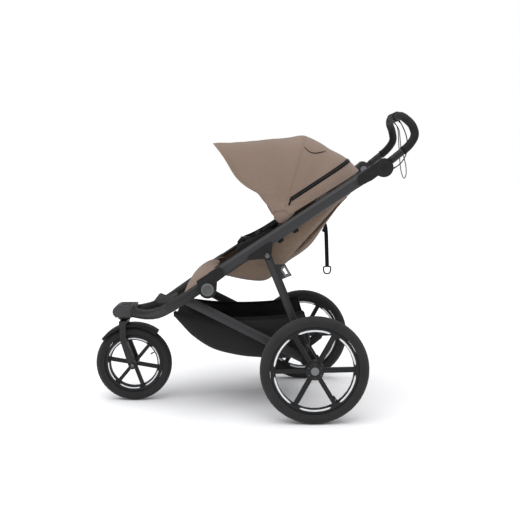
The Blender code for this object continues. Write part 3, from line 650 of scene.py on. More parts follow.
# ---- cords --------------------------------------------------------------------------------------
RECLINE_STRAP_PATH = [
    (0, 0.299, 0.7165), (0, 0.304, 0.706), (0, 0.307, 0.685), (0, 0.309, 0.65), (0, 0.3105, 0.61),
    (0, 0.312, 0.57), (0, 0.313, 0.5465), (0, 0.313, 0.545),
]
STRAP_WIDTH = 0.0155
D_RING_PLACE = (0.313, 0.529)
D_RING_WIRE = 0.0029
BRAKE_CABLE_PATH = [
    (0.022, 0.5865, 1.1155), (0.03, 0.592, 1.108), (0.045, 0.6027, 1.081), (0.07, 0.6081, 1.0468),
    (0.095, 0.6046, 1.0131), (0.125, 0.5933, 0.9824), (0.15, 0.5751, 0.9577), (0.178, 0.55, 0.939),
    (0.2105, 0.521, 0.927),
]
CABLE_RADIUS = 0.0022
WRIST_STRAP_PATH = [
    (-0.085, 0.5865, 1.119), (-0.085, 0.6, 1.104), (-0.085, 0.606, 1.0775), (-0.084, 0.6079, 1.0432),
    (-0.083, 0.6127, 0.9801), (-0.082, 0.6178, 0.934), (-0.081, 0.6254, 0.9051), (-0.08, 0.6332, 0.8947),
    (-0.079, 0.6399, 0.9109), (-0.078, 0.638, 0.9456), (-0.077, 0.6285, 0.9801), (-0.076, 0.616, 1.0203),
    (-0.075, 0.611, 1.06), (-0.074, 0.606, 1.09), (-0.073, 0.587, 1.119),
]
WRIST_STRAP_RADIUS = 0.0018


def d_ring():
    """A bent wire ring with a flat top bar, round which the strap's end is sewn."""
    y, z = D_RING_PLACE
    corners = [(y - 0.01, z + 0.0138), (y + 0.01, z + 0.0138), (y + 0.0143, z + 0.0085),
               (y + 0.0128, z - 0.007), (y + 0.0058, z - 0.0143), (y - 0.0058, z - 0.0143),
               (y - 0.0128, z - 0.007), (y - 0.0143, z + 0.0085)]
    loop = side_path([*corners, corners[0]], 0.0, 4)[:-1]
    made = sweep("recline_ring", loop, level_sides(loop), ring_outline(D_RING_WIRE, 10), PLASTIC, "seat_back",
                 closed=True)
    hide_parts("d_ring")
    return made


def recline_strap():
    """The webbing that pulls the seat back up, doubled and sewn over its ring."""
    path = [*smooth_path(RECLINE_STRAP_PATH[:-1], 5), Vector(RECLINE_STRAP_PATH[-1])]
    made = sweep("recline_webbing", path, (0, 1, 0.05), rounded(STRAP_WIDTH, 0.0028, 0.0012), WEBBING,
                 "seat_back")
    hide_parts("recline_strap")
    outline = [(0.301, 0.708), (0.313, 0.694), (0.312, 0.688), (0.296, 0.6815), (0.2905, 0.686)]
    anchor = plate("recline_anchor", outline, -0.0095, 0.0095, WEBBING, "seat_back", 0.0008)
    box = [(0.3072, 0.556), (0.3185, 0.556), (0.3185, 0.566), (0.3072, 0.566), (0.3072, 0.556)]
    thread = stitches("recline_stitches", [(0.0015, y, z) for y, z in box], (1, 0, 0), DARK_THREAD,
                      0.0028, 0.002, 0.0004, "seat_back")
    d_ring()


def wrist_strap():
    """The safety loop, which hangs from the crossbar and comes back to it."""
    path = smooth_path(WRIST_STRAP_PATH, 3)
    made = cable("wrist_loop", path, WRIST_STRAP_RADIUS, WEBBING, "handlebar")
    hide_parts("wrist_strap")


def brake_cable():
    """The outer cable from the twist grip down to the left knuckle, bowed in one stiff curve."""
    path = smooth_path(BRAKE_CABLE_PATH, 4)
    made = cable("brake_outer_cable", path, CABLE_RADIUS, BLACK_RUBBER, "handlebar")
    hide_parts("brake_cable")
    for name, start in (("cable_ferrule_top", path[0:4]), ("cable_ferrule_low", path[:-5:-1])):
        cable(name, start, CABLE_RADIUS + 0.0008, PLASTIC, "handlebar", swell=lambda t: 1.25 - 0.3 * t)


# ---- wheels -------------------------------------------------------------------------------------
SPOKES = 6
REAR_BEAD, FRONT_BEAD = 0.163, 0.1183                       # the radius at which each tyre meets its rim
REAR_TYRE_HALF, FRONT_TYRE_HALF = 0.0222, 0.0232
REAR_REFLECTOR, FRONT_REFLECTOR = (0.1448, 0.1512), (0.0994, 0.1042)    # inner and outer radius
REAR_RIM_FACE, FRONT_RIM_FACE = 0.0118, 0.0124               # from the wheel's middle plane
REAR_HUB_FACE, FORK_END_FACE = 0.0166, 0.0538


def tyre(name, node, body, x, place, radius, bead, half_width, lugs):
    """A turned tyre: a rounded crown of small blocks between grooves, and sidewalls with moulded rings."""
    middle, rise = (radius + bead) / 2, (radius - bead) / 2
    around, over = lugs * 4, 44
    rows = []
    for i in range(around):
        turn = 2 * math.pi * i / around
        row = []
        for j in range(over + 1):
            slope = math.radians(124 - 248 * j / over)
            lean = abs(math.degrees(slope))
            depth = 0.0009 * hump(lean, 15, 2.5) + 0.0007 * hump(lean, 34, 2.5)
            if 18 < lean < 58 and i % 4 == 0:
                depth += 0.001
            wall = 0.0006 * hump(lean, 84, 3) + 0.0005 * hump(lean, 108, 2.5)
            reach = middle + rise * math.cos(slope) - depth * math.cos(slope)
            side = half_width * math.sin(slope) + math.copysign(wall - depth * abs(math.sin(slope)), slope)
            row.append((x + side, place[0] + reach * math.cos(turn), place[1] + reach * math.sin(turn)))
        top = row[0][0] - x
        for side in (-top * 0.92, top * 0.92):
            row.append((x + side, place[0] + bead * math.cos(turn), place[1] + bead * math.sin(turn)))
        rows.append(row)
    made = grid(name, rows, TYRE_RUBBER, body, True, True, sharp=50)
    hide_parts(node)


def reflector_arcs(name, body, x, place, radii, first_angle, gap, rim_face):
    """A light strip on both of the rim's faces, between each two spokes."""
    low, high = radii
    centre = (low + high) / 2
    steps = 14
    sector = 360 / SPOKES
    rings, sides = [], []
    for face in (rim_face, -rim_face):
        for n in range(SPOKES):
            start = first_angle + sector * n + gap
            end = first_angle + sector * (n + 1) - gap
            base = len(rings)
            for k in range(steps + 1):
                angle = math.radians(start + (end - start) * k / steps)
                taper = 0.35 if k in (0, steps) else 1.0
                for reach in (centre - (centre - low) * taper, centre + (high - centre) * taper):
                    for lift in (0.0, 0.0005):
                        rings.append((x + face + math.copysign(lift, face),
                                      place[0] + reach * math.cos(angle),
                                      place[1] + reach * math.sin(angle)))
            for k in range(steps):
                a, b = base + 4 * k, base + 4 * (k + 1)
                for p, q in ((0, 1), (1, 3), (3, 2), (2, 0)):
                    sides.append((a + p, a + q, b + q, b + p))
            sides.append((base, base + 1, base + 3, base + 2))
            end_base = base + 4 * steps
            sides.append((end_base + 2, end_base + 3, end_base + 1, end_base))
    made = piece(name, rings, sides, TAPE, None, smooth=False)
    face_outwards(made)
    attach(made, body)


def hub_trim(name, body, x, place, facing, radius, made_of):
    """A dished ring round the middle of a hub."""
    profile = [(radius * 0.52, 0.0), (radius * 0.52, 0.0018), (radius * 0.62, 0.003), (radius * 0.9, 0.003),
               (radius, 0.0012), (radius, 0.0)]
    lathe(name, profile, x, place, 40, made_of, body, facing)


def bolts(name, body, x, facing, places, radius, made_of, height=0.0022):
    """Round-headed bolts with a socket, all in one piece."""
    profile = [(0.0001, height * 0.35), (radius * 0.42, height * 0.35), (radius * 0.46, height),
               (radius * 0.8, height), (radius, height * 0.55), (radius, 0.0)]
    parts = [lathe(f"{name}_{n}", profile, x, place, 24, made_of, None, facing)
             for n, place in enumerate(places)]
    joined(name, parts, body)


def valve(name, body, x, place, angle, low, high):
    """An inner tube's valve: a bent stem, a collar and a cap, pointing to the hub."""
    direction = Vector((0, math.cos(math.radians(angle)), math.sin(math.radians(angle))))
    base = Vector((x, *place))
    path = [base + direction * (high + (low - high) * n / 8) + Vector((0.004 * ease(n / 8), 0, 0))
            for n in range(9)]
    cable(name, path, 0.0028, BLACK_RUBBER, body,
          swell=lambda t: 1.25 if t < 0.35 else (0.85 if t < 0.6 else 1.05))


def wheels():
    for label, side in SIDES:
        x = side * REAR_TRACK / 2
        body = "rear_wheel_" + label
        tyre("rear_tread_" + label, "rear_tyre_" + label, body, x, REAR_AXLE, REAR_RADIUS, REAR_BEAD,
             REAR_TYRE_HALF, 64)
        reflector_arcs("rear_reflectors_" + label, body, x, REAR_AXLE, REAR_REFLECTOR, 1, 7.5, REAR_RIM_FACE)
        hub_trim("rear_hub_ring_" + label, body, x + side * REAR_HUB_FACE, REAR_AXLE, side, 0.03, RIM_PAINT)
        spots = arc(REAR_AXLE, 0.0262, 31, 331, SPOKES)
        bolts("rear_hub_bolts_" + label, body, x + side * 0.019, side, spots, 0.0024, DARK_STEEL, 0.0014)
        valve("rear_valve_" + label, body, x, REAR_AXLE, 306, 0.118, 0.146)
    tyre("front_tread", "front_tyre", "front_wheel", 0, FRONT_AXLE, FRONT_RADIUS, FRONT_BEAD,
         FRONT_TYRE_HALF, 52)
    reflector_arcs("front_reflectors", "front_wheel", 0, FRONT_AXLE, FRONT_REFLECTOR, 50, 7.0, FRONT_RIM_FACE)
    lip = [(0.0946, -0.01), (0.0946, 0.01), (0.096, 0.012), (0.099, 0.0126), (0.1012, 0.01),
           (0.1012, -0.01), (0.099, -0.0126), (0.096, -0.012)]
    lathe("front_rim_lip", lip, 0, FRONT_AXLE, 72, RIM_PAINT, "front_wheel", closed=True)
    valve("front_valve", "front_wheel", 0, FRONT_AXLE, 28, 0.076, 0.102)
    for label, side in SIDES:
        hub_trim("fork_end_ring_" + label, "fork", side * FORK_END_FACE, FRONT_AXLE, side, 0.014, PLASTIC)
        bolts("fork_bolt_" + label, "fork", side * 0.054, side, [FRONT_AXLE], 0.0078, DARK_STEEL, 0.003)


# ---- frame details ------------------------------------------------------------------------------
def both(*stems):
    """The names of pieces that come as a left and a right one."""
    return [f"{stem}_{label}" for stem in stems for label, _ in SIDES]


def paint_nodes():
    """Gives each CAD node that stays in view its own finish, and rounds its sharp edges."""
    finishes = {
        TUBE_PAINT: [*both("front_tube", "upper_tube", "rear_leg", "brace"), "handlebar_core"],
        FORK_PAINT: ["fork"],
        BOW_PAINT: ["canopy_front_bow", "canopy_mid_bow"],
        RIM_PAINT: [*both("rear_rim"), "front_rim"],
        HEAD_PAINTED_LIGHT: ["head_block"],
        PLASTIC: [*both("fold_hub", "leg_bracket", "handle_hub", "axle_carrier"), "swivel_lock_ring",
                  "brake_pedal", "fender", "harness_buckle"],
        HUB_PLASTIC: [*both("wheel_button", "handle_button"), "fold_axle", "buckle_button"],
        BLACK_RUBBER: [*both("strut_boot"), "footrest"],
        STEEL: ["rear_axle", "front_axle"],
    }
    for made_of, names in finishes.items():
        for name in names:
            data = NODES[name].data
            data.materials.clear()
            data.materials.append(made_of)
    edge_widths = {
        0.006: ["head_block"], 0.003: ["footrest", "harness_buckle"], 0.0028: ["fork"],
        0.0026: both("handle_hub"), 0.0022: both("axle_carrier", "fold_hub"), 0.002: ["brake_pedal"],
        0.0013: both("rear_rim"), 0.0012: ["fender"], 0.0011: ["front_rim"], 0.001: both("leg_bracket"),
    }
    for width, names in edge_widths.items():
        for name in names:
            soften(name, width)


TUBE_X = 0.235                     # the upper tube's middle
BADGE_X = 0.2662                   # outer faces of the fold hub, leg bracket, front tube and handle hub
BRACKET_FACE_X = 0.2544
BRACE_FACE_X = 0.2165
HANDLE_HUB_FACE_X = 0.263
SIDE_CLIP_X = 0.203
SIDE_CLIP_DISTANCES = (0.322, 0.388)    # along the tube


def frame_fittings():
    """Hub discs, bolts, the collars on the upper tubes and the clips that hold the seat's sides."""
    disc = [(0.0001, 0.0004), (0.015, 0.0004), (0.0165, 0.0014), (0.0215, 0.0014), (0.0225, 0.0)]
    cap = [(0.0001, 0.0006), (0.0235, 0.0006), (0.025, 0.0), (0.0235, -0.0004), (0.0001, -0.0004)]
    clip = [(-0.011, -0.002), (-0.007, -0.006), (0.009, -0.007), (0.012, -0.001), (0.012, 0.008),
            (-0.011, 0.008)]
    for label, side in SIDES:
        lathe("hub_badge_" + label, disc, side * BADGE_X, FOLD_HUB, 48, HUB_PLASTIC, "upper_frame", side)
        bolts("bracket_bolt_" + label, "upper_frame", side * BRACKET_FACE_X, side, [LEG_PIVOT], 0.0085,
              DARK_STEEL)
        bolts("brace_bolt_" + label, "front_frame", side * BRACE_FACE_X, -side, [BRACE_PIVOT], 0.0075,
              DARK_STEEL)
        lathe("handle_cap_" + label, cap, side * HANDLE_HUB_FACE_X, HANDLE_HUB, 48, PLASTIC, "upper_frame",
              side)
        x = side * TUBE_X
        start, end = along_tube(0.039, 0.0265), along_tube(0.044, 0.0265)
        sweep("tube_collar_" + label, [(x, *start), (x, *end)], (1, 0, 0), rounded(0.029, 0.0452, 0.0125, 5),
              PLASTIC, "upper_frame", sharp=40)
    for label, side in SIDES:
        for n, distance in enumerate(SIDE_CLIP_DISTANCES):
            spot = along_tube(distance, -0.0015)
            outline = [along_tube(a, b, spot) for a, b in clip]
            low, high = sorted((side * SIDE_CLIP_X, side * (SIDE_CLIP_X + 0.02)))
            plate(f"side_clip_{label}_{n}", outline, low, high, PIPING, "upper_frame", 0.0015)


CATCH_LOOP = [(0.117, 0.562), (0.131, 0.573), (0.1495, 0.5445), (0.135, 0.534)]
CATCH_X = 0.2352


def catch_cover():
    """The pale square loop of the fold catch on each rear leg."""
    middle = Vector((0, sum(y for y, z in CATCH_LOOP) / 4, sum(z for y, z in CATCH_LOOP) / 4))
    for label, side in SIDES:
        corners = [Vector((side * CATCH_X, y, z)) for y, z in CATCH_LOOP]
        loop = [corner.lerp(following, t) for corner, following in zip(corners, corners[1:] + corners[:1])
                for t in (0.15, 0.5, 0.85)]
        widths = [(middle + Vector((side * CATCH_X, 0, 0)) - p).normalized() for p in loop]
        sweep("catch_loop_" + label, loop, widths, rounded(0.0075, 0.015, 0.002), PALE_PLASTIC, "rear_legs",
              closed=True, sharp=50)


HEAD_SEAM_Y = -0.466
HEAD_SEAM_WIDTH = 0.0044
HEAD_SEAM_LEAN = 0.01             # towards the seam's top


def head_details():
    """The dark seam round the head casting, which leans back towards its top, and a dark plate over its top:
    painted shade that makes the top darker than the lighter sides.
    """
    low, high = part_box("head_block")
    middle, height = (low[2] + high[2]) / 2, high[2] - low[2] + 0.0016
    outline = rounded(high[0] - low[0] + 0.0016, height, 0.007, 5)
    rows = [[(a, HEAD_SEAM_Y + step + HEAD_SEAM_LEAN * (b / height), middle + b) for a, b in outline]
            for step in (0.0, HEAD_SEAM_WIDTH)]
    grid("head_seam", rows, PIPING, "front_frame", False, True, True, sharp=40)
    # a dark plate on the head's top: painted shade, so that the top looks darker than its lighter grey sides
    cover = [(-0.512, high[2] - 0.001), (-0.506, high[2] + 0.0014), (-0.472, high[2] + 0.0014),
             (-0.47, high[2] - 0.001)]
    plate("head_top_painted_shade", cover, -0.03, 0.03, PLASTIC, "front_frame", 0.0006)


FOOTREST_DECK = 0.4142
FIRST_RIB_Y, RIB_PITCH, RIB_HALF = -0.346, 0.01, 0.094


def footrest_ribs():
    """Grip ribs moulded into the step's flat deck."""
    for n in range(3):
        path = [(RIB_HALF * (k / 6 - 1), FIRST_RIB_Y + RIB_PITCH * n, FOOTREST_DECK) for k in range(13)]
        sweep(f"footrest_rib_{n}", path, (0, 1, 0), rounded(0.0042, 0.0026, 0.0012), BLACK_RUBBER,
              "front_frame", swell=lambda t: 0.5 + 0.5 * ease(8 * min(t, 1 - t)))


# ---- handlebar ----------------------------------------------------------------------------------
GRIP_RADIUS = 0.0154
ARM_RADIUS = 0.0138
TWIST_HALF_LENGTH = 0.056


def grip_swell(t):
    """A raised collar at each end of a foam sleeve."""
    return 1.0 + 0.1 * hump(t, 0.0, 0.02) + 0.1 * hump(t, 1.0, 0.02)


def grips():
    """Foam sleeves on the bar, with the painted arms that they end at."""
    for label, side in SIDES:
        half = mirrored(smooth_path(HANDLE_HALF_PATH, 6), side)
        path = half[8:-1]
        made = cable("grip_" + label, path, GRIP_RADIUS, GRIP_FOAM, "handlebar", grip_swell, 24)
        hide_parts("handle_grip_" + label)
        cable("arm_sleeve_" + label, half[2:9], ARM_RADIUS, TUBE_PAINT, "handlebar", points=24)
        seam = [p + Vector((0, -0.6, -0.8)).normalized() * (GRIP_RADIUS - 0.0001) for p in path[8:-3]]
        stitches("grip_seam_" + label, seam, (0, -0.6, -0.8), DARK_THREAD, 0.005, 0.0034, 0.0004, "handlebar")


def twist_grip():
    """The brake's fluted sleeve with a flange at each end."""
    half = TWIST_HALF_LENGTH
    around = 64
    flange = [(-half, 0.0125), (-half, 0.0175), (-half + 0.002, 0.019), (-half + 0.006, 0.019),
              (-half + 0.008, 0.0178)]
    sleeve = [(-half + 0.008 + (2 * half - 0.016) * k / 14, 0.0178) for k in range(1, 14)]
    profile = [*flange, *sleeve, *[(-h, r) for h, r in flange[::-1]]]
    rows = []
    for n in range(around):
        turn = 2 * math.pi * n / around
        row = []
        for height, reach in profile:
            fluted = 0.0007 * math.cos(16 * turn) if abs(height) < half - 0.0075 else 0.0
            row.append((height, CROSSBAR[0] + (reach + fluted) * math.cos(turn),
                        CROSSBAR[1] + (reach + fluted) * math.sin(turn)))
        rows.append(row)
    made = grid("twist_sleeve", rows, BLACK_RUBBER, "twist_brake", True, False, sharp=35)
    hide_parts("twist_grip")


# ---- canopy -------------------------------------------------------------------------------------
# bow angle and crown's radius
HOOD_SHAPE = [(31, 0.3525), (42, 0.342), (54, 0.3265), (64, 0.325), (74, 0.3265), (82, 0.311), (90, 0.303),
              (98, 0.301), (106, 0.3045), (115, 0.318), (124, 0.343), (132, 0.3815)]
HOOD_REAR, HOOD_FRONT = 31, 132
HOOD_SEAM = 73.0                   # the middle bow's seam
ZIP_START = 0.058                  # the share of each arch below the zip's two ends
ZIP_OFFSET = 0.0416                # the zip runs beside the tube's line through the pivot, this far off it
ZIP_SLOPE = 32.8


def crown_radius(angle):
    """The crown's distance from the pivot, with the corners between the bows rounded off."""
    def straight(at):
        for (a, ra), (b, rb) in zip(HOOD_SHAPE, HOOD_SHAPE[1:]):
            if at <= b:
                return ra + (rb - ra) * (at - a) / (b - a)
        return HOOD_SHAPE[-1][1]
    return sum(straight(angle + step) for step in (-1.4, 0, 1.4)) / 3


def front_reach(radius):
    """How far the front edge leans past its bow: the visor's sides dip below a straight line."""
    return 5.0 * hump(radius, 0.205, 0.075) - 2.6 * hump(radius, 0.125, 0.022)


@lru_cache(maxsize=None)
def hood_arch(angle):
    """One arch of the hood, from its left foot over the crown to its right one."""
    reach = crown_radius(angle)
    tight = 0.003 * hump(angle, 86, 8) + 0.003 * hump(angle, 52, 8)
    arch = []
    for n in range(241):
        t = math.pi * (0.004 + 0.992 * n / 240)
        side = math.copysign(abs(math.cos(t)) ** 0.45, math.cos(t))
        rise = math.sin(t) ** 0.55
        x = (CANOPY_WIDTH - tight * rise) * side
        out = (reach - tight * abs(math.sin(t)) ** 3) * rise
        lean = front_reach(out) * ease((angle - 112) / (HOOD_FRONT - 112))
        fan = 0.55 * math.sin(angle * 0.21 + 0.6) * hump(out, 0.2, 0.08)
        turn = math.radians(angle + lean)
        crease = 0.001 * math.sin(math.radians(angle * 9)) * hump(out, 0.21, 0.07) * abs(side)
        arch.append(Vector((x - math.copysign(crease, x) + 0.001 * fan * side,
                            CANOPY_PIVOT[0] + out * math.cos(turn), CANOPY_PIVOT[1] + out * math.sin(turn))))
    return evenly(arch, 121)


def hood_place(angle, share):
    """A place on the hood. share runs from 0 at the left foot to 1 at the right one."""
    arch = hood_arch(round(angle, 2))
    at = min(max(share, 0.0), 1.0) * (len(arch) - 1)
    low = min(int(at), len(arch) - 2)
    return arch[low].lerp(arch[low + 1], at - low)


def hood_normal(angle, share):
    across = hood_place(angle, share + 0.01) - hood_place(angle, share - 0.01)
    ahead = hood_place(min(angle + 1.5, HOOD_FRONT), share) - hood_place(max(angle - 1.5, HOOD_REAR), share)
    normal = across.cross(ahead).normalized()
    outwards = hood_place(angle, share) - Vector((0, *CANOPY_PIVOT))
    return normal if normal.dot(outwards) > 0 else -normal


def bend_with_hood(thing):
    """Bakes the piece's placement into its mesh."""
    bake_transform(thing)


def hood_line(places, lift=0.0):
    """Points and normals on the hood for a list of (angle, share)."""
    normals = [hood_normal(a, s) for a, s in places]
    points = [hood_place(a, s) + n * lift for (a, s), n in zip(places, normals)]
    return points, normals


def hood_strip(name, places, width, thickness, made_of, lift=0.001):
    """A flat strip sewn along a line of the hood."""
    points, normals = hood_line(places, lift)
    across = [n.cross(t) for n, t in zip(normals, tangents(points))]
    return sweep(name, points, across, rounded(width, thickness, thickness * 0.45), made_of)


def zip_angle(share):
    """The arch on which the zip crosses a share, found by stepping towards it."""
    angle = 45.0
    for _ in range(8):
        place = hood_place(angle, share)
        reach = math.dist((place.y, place.z), CANOPY_PIVOT)
        angle = ZIP_SLOPE + math.degrees(math.asin(min(ZIP_OFFSET / max(reach, ZIP_OFFSET), 1.0)))
        angle = min(max(angle, HOOD_REAR), HOOD_FRONT)
    return angle


def hood_sheet():
    """The hood's one cloth, over both of its bows."""
    angles = [HOOD_REAR + (HOOD_FRONT - HOOD_REAR) * n / 68 for n in range(69)]
    rows = [[hood_place(a, n / 96) for n in range(97)] for a in angles]
    made = grid("hood_sheet", rows, HOOD_CLOTH)
    thicken(made, 0.0022)
    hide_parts("canopy_front_panel", "canopy_rear_panel")
    bend_with_hood(made)


def hood_trim():
    """Bound edges, the middle seam with its stitching, the long zip, and the slit of the flap."""
    shares = [n / 90 for n in range(91)]
    front = [(HOOD_FRONT - 0.4, s) for s in shares]
    rear = [(HOOD_REAR + 0.4, s) for s in shares]
    middle = [(HOOD_SEAM, s) for s in shares[2:-2]]
    parts = [
        hood_strip("hood_front_binding", front, 0.008, 0.0046, HOOD_CLOTH, 0.0),
        hood_strip("hood_rear_binding", rear, 0.007, 0.004, HOOD_CLOTH, 0.0),
        hood_strip("hood_seam_0", middle, 0.0034, 0.001, HOOD_CLOTH, 0.0011),
    ]
    for n, beside in enumerate((-0.9, 0.9)):
        points, normals = hood_line([(HOOD_SEAM + beside, s) for s in shares[4:-4]], 0.0013)
        parts.append(stitches(f"hood_stitches_0_{n}", points, normals, THREAD))
    points, normals = hood_line([(HOOD_FRONT - 2.4, s) for s in shares[4:-4]], 0.0013)
    parts.append(stitches("hood_front_stitches", points, normals, THREAD))
    zip_shares = [ZIP_START + (1 - 2 * ZIP_START) * n / 110 for n in range(111)]
    line = [(zip_angle(share), share) for share in zip_shares]
    parts.append(hood_strip("zip_band", line, 0.015, 0.0018, ZIP_TAPE, 0.0017))
    parts.append(hood_strip("zip_coil", line, 0.0048, 0.0026, ZIP_TEETH, 0.0028))
    for n, beside in enumerate((-1.8, 1.8)):
        points, normals = hood_line([(a + beside, s) for a, s in line[3:-3]], 0.0014)
        parts.append(stitches(f"zip_stitches_{n}", points, normals, THREAD))
    for part in parts:
        bend_with_hood(part)
    for label, side in SIDES:
        zip_end(label, side)
    pocket_slit()


def zip_end(label, side):
    """The zip's slider with its pull, which hooks down at the low end."""
    share = ZIP_START if side > 0 else 1 - ZIP_START
    start = hood_place(zip_angle(share), share)
    places = [(start.y + 0.004, start.z + 0.002), (start.y - 0.004, start.z - 0.003), (0.1525, 0.812),
              (0.148, 0.804), (0.146, 0.7965)]
    x = side * (abs(start.x) + 0.0022)
    pull = sweep("zip_pull_" + label, side_path(places, x, 4), (0, 0.5, -0.86),
                 rounded(0.0062, 0.0024, 0.001), ZIP_TAPE)
    bend_with_hood(pull)


def slit_swell(least):
    """A width that is widest in the middle and narrows to the least share at both ends."""
    return lambda t: least + (1 - least) * math.sin(math.pi * min(max(t, 0.02), 0.98)) ** 0.5


def pocket_slit():
    """The curved opening of the peephole's flap on the hood's left side, with a lip above it."""
    line = []
    for n in range(25):
        t = n / 24
        angle = 71.7 - 15.7 * t
        rise = 0.85 + 0.07 * t - 0.055 * math.sin(math.pi * t)
        line.append((angle, share_at(angle, rise)))
    points, normals = hood_line(line, 0.0011)
    across = [n.cross(t) for n, t in zip(normals, tangents(points))]
    slit = sweep("slit_shadow", points, across, rounded(0.0046, 0.0012, 0.0005), PIPING,
                 swell=slit_swell(0.25))
    bend_with_hood(slit)
    lip_points = [p + n * 0.0012 + Vector((0, 0, 0.0032)) for p, n in zip(points, normals)]
    lip = sweep("slit_lip", lip_points, across, rounded(0.0048, 0.0022, 0.0009), HOOD_CLOTH,
                swell=slit_swell(0.3))
    bend_with_hood(lip)


def share_at(angle, fraction):
    """The share at which an arch's left side reaches a fraction of its crown's radius."""
    low, high = 0.0, 0.5
    for _ in range(24):
        middle = (low + high) / 2
        place = hood_place(angle, middle)
        if math.dist((place.y, place.z), CANOPY_PIVOT) < fraction * crown_radius(angle):
            low = middle
        else:
            high = middle
    return (low + high) / 2


def hood_tongues():
    """The sewn tabs that hold the hood's feet to its hinge, each with a clip under it."""
    tongue = [(0.069, 0.796), (0.08, 0.772), (0.096, 0.744), (0.108, 0.7315), (0.122, 0.729),
              (0.14, 0.74), (0.162, 0.762), (0.18, 0.785), (0.15, 0.805), (0.1, 0.81)]
    clip = [(0.102, 0.726), (0.12, 0.718), (0.156, 0.74), (0.17, 0.756), (0.156, 0.756),
            (0.12, 0.733)]
    for label, side in SIDES:
        low, high = sorted((side * 0.2195, side * 0.2222))
        plate("hood_tongue_" + label, tongue, low, high, HOOD_CLOTH, "upper_frame", 0.001)
        low, high = sorted((side * 0.213, side * 0.2205))
        plate("hood_foot_clip_" + label, clip, low, high, PLASTIC, "upper_frame", 0.0015)


# ---- seat ---------------------------------------------------------------------------------------
KEEL = [(-0.124, 0.544), (-0.106, 0.535), (-0.081, 0.522), (-0.02, 0.504), (0.045, 0.496),
        (0.08, 0.506), (0.115, 0.538), (0.151, 0.572), (0.205, 0.608), (0.245, 0.645), (0.291, 0.713),
        (0.354, 0.801), (0.386, 0.838)]
TUB_FROM, TUB_TO = 0.052, 0.618    # along the tube
TUB_LIP = 0.043                    # above the fold hub's line along the tube
TUB_WIDE = 0.194
TUB_LIP_X = 0.172
TUB_HANGING = 0.72                 # the share of each rib's half that hangs below the tube
TUB_STATIONS, TUB_POINTS = 120, 84
SIDE_SEAM, BACK_WELT = 18, 27      # points in from a rib's end
FOLD_LINE = ((0.172, 0.6157), (0.345, 0.808))    # in the seat's sides, just in front of the back panel


def bend_with_back(thing):
    """Bakes the piece's placement into its mesh."""
    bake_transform(thing)


@lru_cache(maxsize=None)
def keel_line():
    return evenly(side_path(KEEL, 0.0, 5), 61)


def tub_section(t, count=28):
    """One rib of the seat's tub: over the left lip, down the side, round the keel and up again."""
    keels = keel_line()
    at = t * (len(keels) - 1)
    low = min(int(at), len(keels) - 2)
    keel = keels[low].lerp(keels[low + 1], at - low)
    distance = TUB_FROM + (TUB_TO - TUB_FROM) * t
    lip_lift = TUB_LIP - 0.01 * ease((t - 0.75) / 0.25)
    base, lip = along_tube(distance, 0.002), along_tube(distance, lip_lift)
    narrow = 1 - 0.12 * ease((t - 0.7) / 0.3) - 0.06 * ease((0.12 - t) / 0.12)
    rib = []
    for n in range(count + 1):
        v = 1 - 2 * n / count
        a, side = abs(v), math.copysign(1, v)
        if a > TUB_HANGING:
            up = (a - TUB_HANGING) / (1 - TUB_HANGING)
            x = TUB_WIDE + (TUB_LIP_X - TUB_WIDE) * up ** 1.3
            y, z = (base[0] + (lip[0] - base[0]) * up, base[1] + (lip[1] - base[1]) * up)
        else:
            turn = math.pi / 2 * (1 - a / TUB_HANGING)
            x = TUB_WIDE * math.cos(turn) ** 0.55
            down = math.sin(turn) ** 0.85
            y, z = (base[0] + (keel.y - base[0]) * down, base[1] + (keel.z - base[1]) * down)
        rib.append(Vector((side * x * narrow, y, z)))
    return rib


def beside_fold(place):
    """How far a place is behind the fold's line, and the share of the line's length that it has passed."""
    (y0, z0), (y1, z1) = FOLD_LINE
    length = math.dist(*FOLD_LINE)
    ahead = ((y1 - y0) / length, (z1 - z0) / length)
    along = (place.y - y0) * ahead[0] + (place.z - z0) * ahead[1]
    behind = (place.y - y0) * ahead[1] - (place.z - z0) * ahead[0]
    return behind, along / length


def side_fold(place):
    """How deep the seat's side is drawn in: a long groove beside the back panel, fading out at its ends."""
    behind, share = beside_fold(place)
    fading = ease((share + 0.25) / 0.35) * ease((1.15 - share) / 0.25)
    return (0.019 * hump(behind, 0.0, 0.0095) - 0.004 * hump(behind, 0.018, 0.0085)) * fading


def fold_shade_strip():
    """A dark strip of painted shade that lies in each side fold, as the groove's shadow."""
    for label, side in SIDES:
        (y0, z0), (y1, z1) = FOLD_LINE
        path = []
        for n in range(40):
            t = n / 39
            place = Vector((0, y0 + (y1 - y0) * t, z0 + (z1 - z0) * t))
            path.append(Vector((side * tub_half_width(place), place.y, place.z)))
        # the strip's dark cloth is painted shade in the groove
        made = sweep("seat_fold_shade_" + label, path, (0, 0.75, -0.66), rounded(0.011, 0.003, 0.0012), FOLD_SHADE_CLOTH,
                     swell=lambda t: 0.35 + 0.65 * math.sin(math.pi * min(max(t, 0.03), 0.97)) ** 0.6)
        bend_with_back(made)


def tub_half_width(place):
    """The half width of the seat's tub, side folds included, at a place in the side view."""
    nearest = min(tub_side(), key=lambda spot: math.dist((spot.y, spot.z), (place.y, place.z)))
    return nearest.x - side_fold(nearest) + 0.0012


@lru_cache(maxsize=None)
def tub_side():
    """Places all over the left side of the tub."""
    return [spot for n in range(TUB_STATIONS + 1)
            for spot in tub_section(n / TUB_STATIONS, TUB_POINTS)[:TUB_POINTS // 2]]


def head_vent():
    """The net that closes the gap between the hood's rear edge and the top of the seat."""
    top = evenly([hood_place(31.6, 0.16 + 0.68 * n / 40) for n in range(41)], 41)
    foot = evenly(tub_section(1.0)[2:-2], 41)
    rows = []
    for low, high in zip(foot, top):
        row = []
        for k in range(13):
            up = k / 12
            sag = 0.006 * math.sin(math.pi * up)
            row.append(low.lerp(high, up) + Vector((0, sag, -sag * 0.3)))
        rows.append(row)
    made = grid("head_vent", rows, VENT_NET)
    thicken(made, 0.0018)
    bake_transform(made)


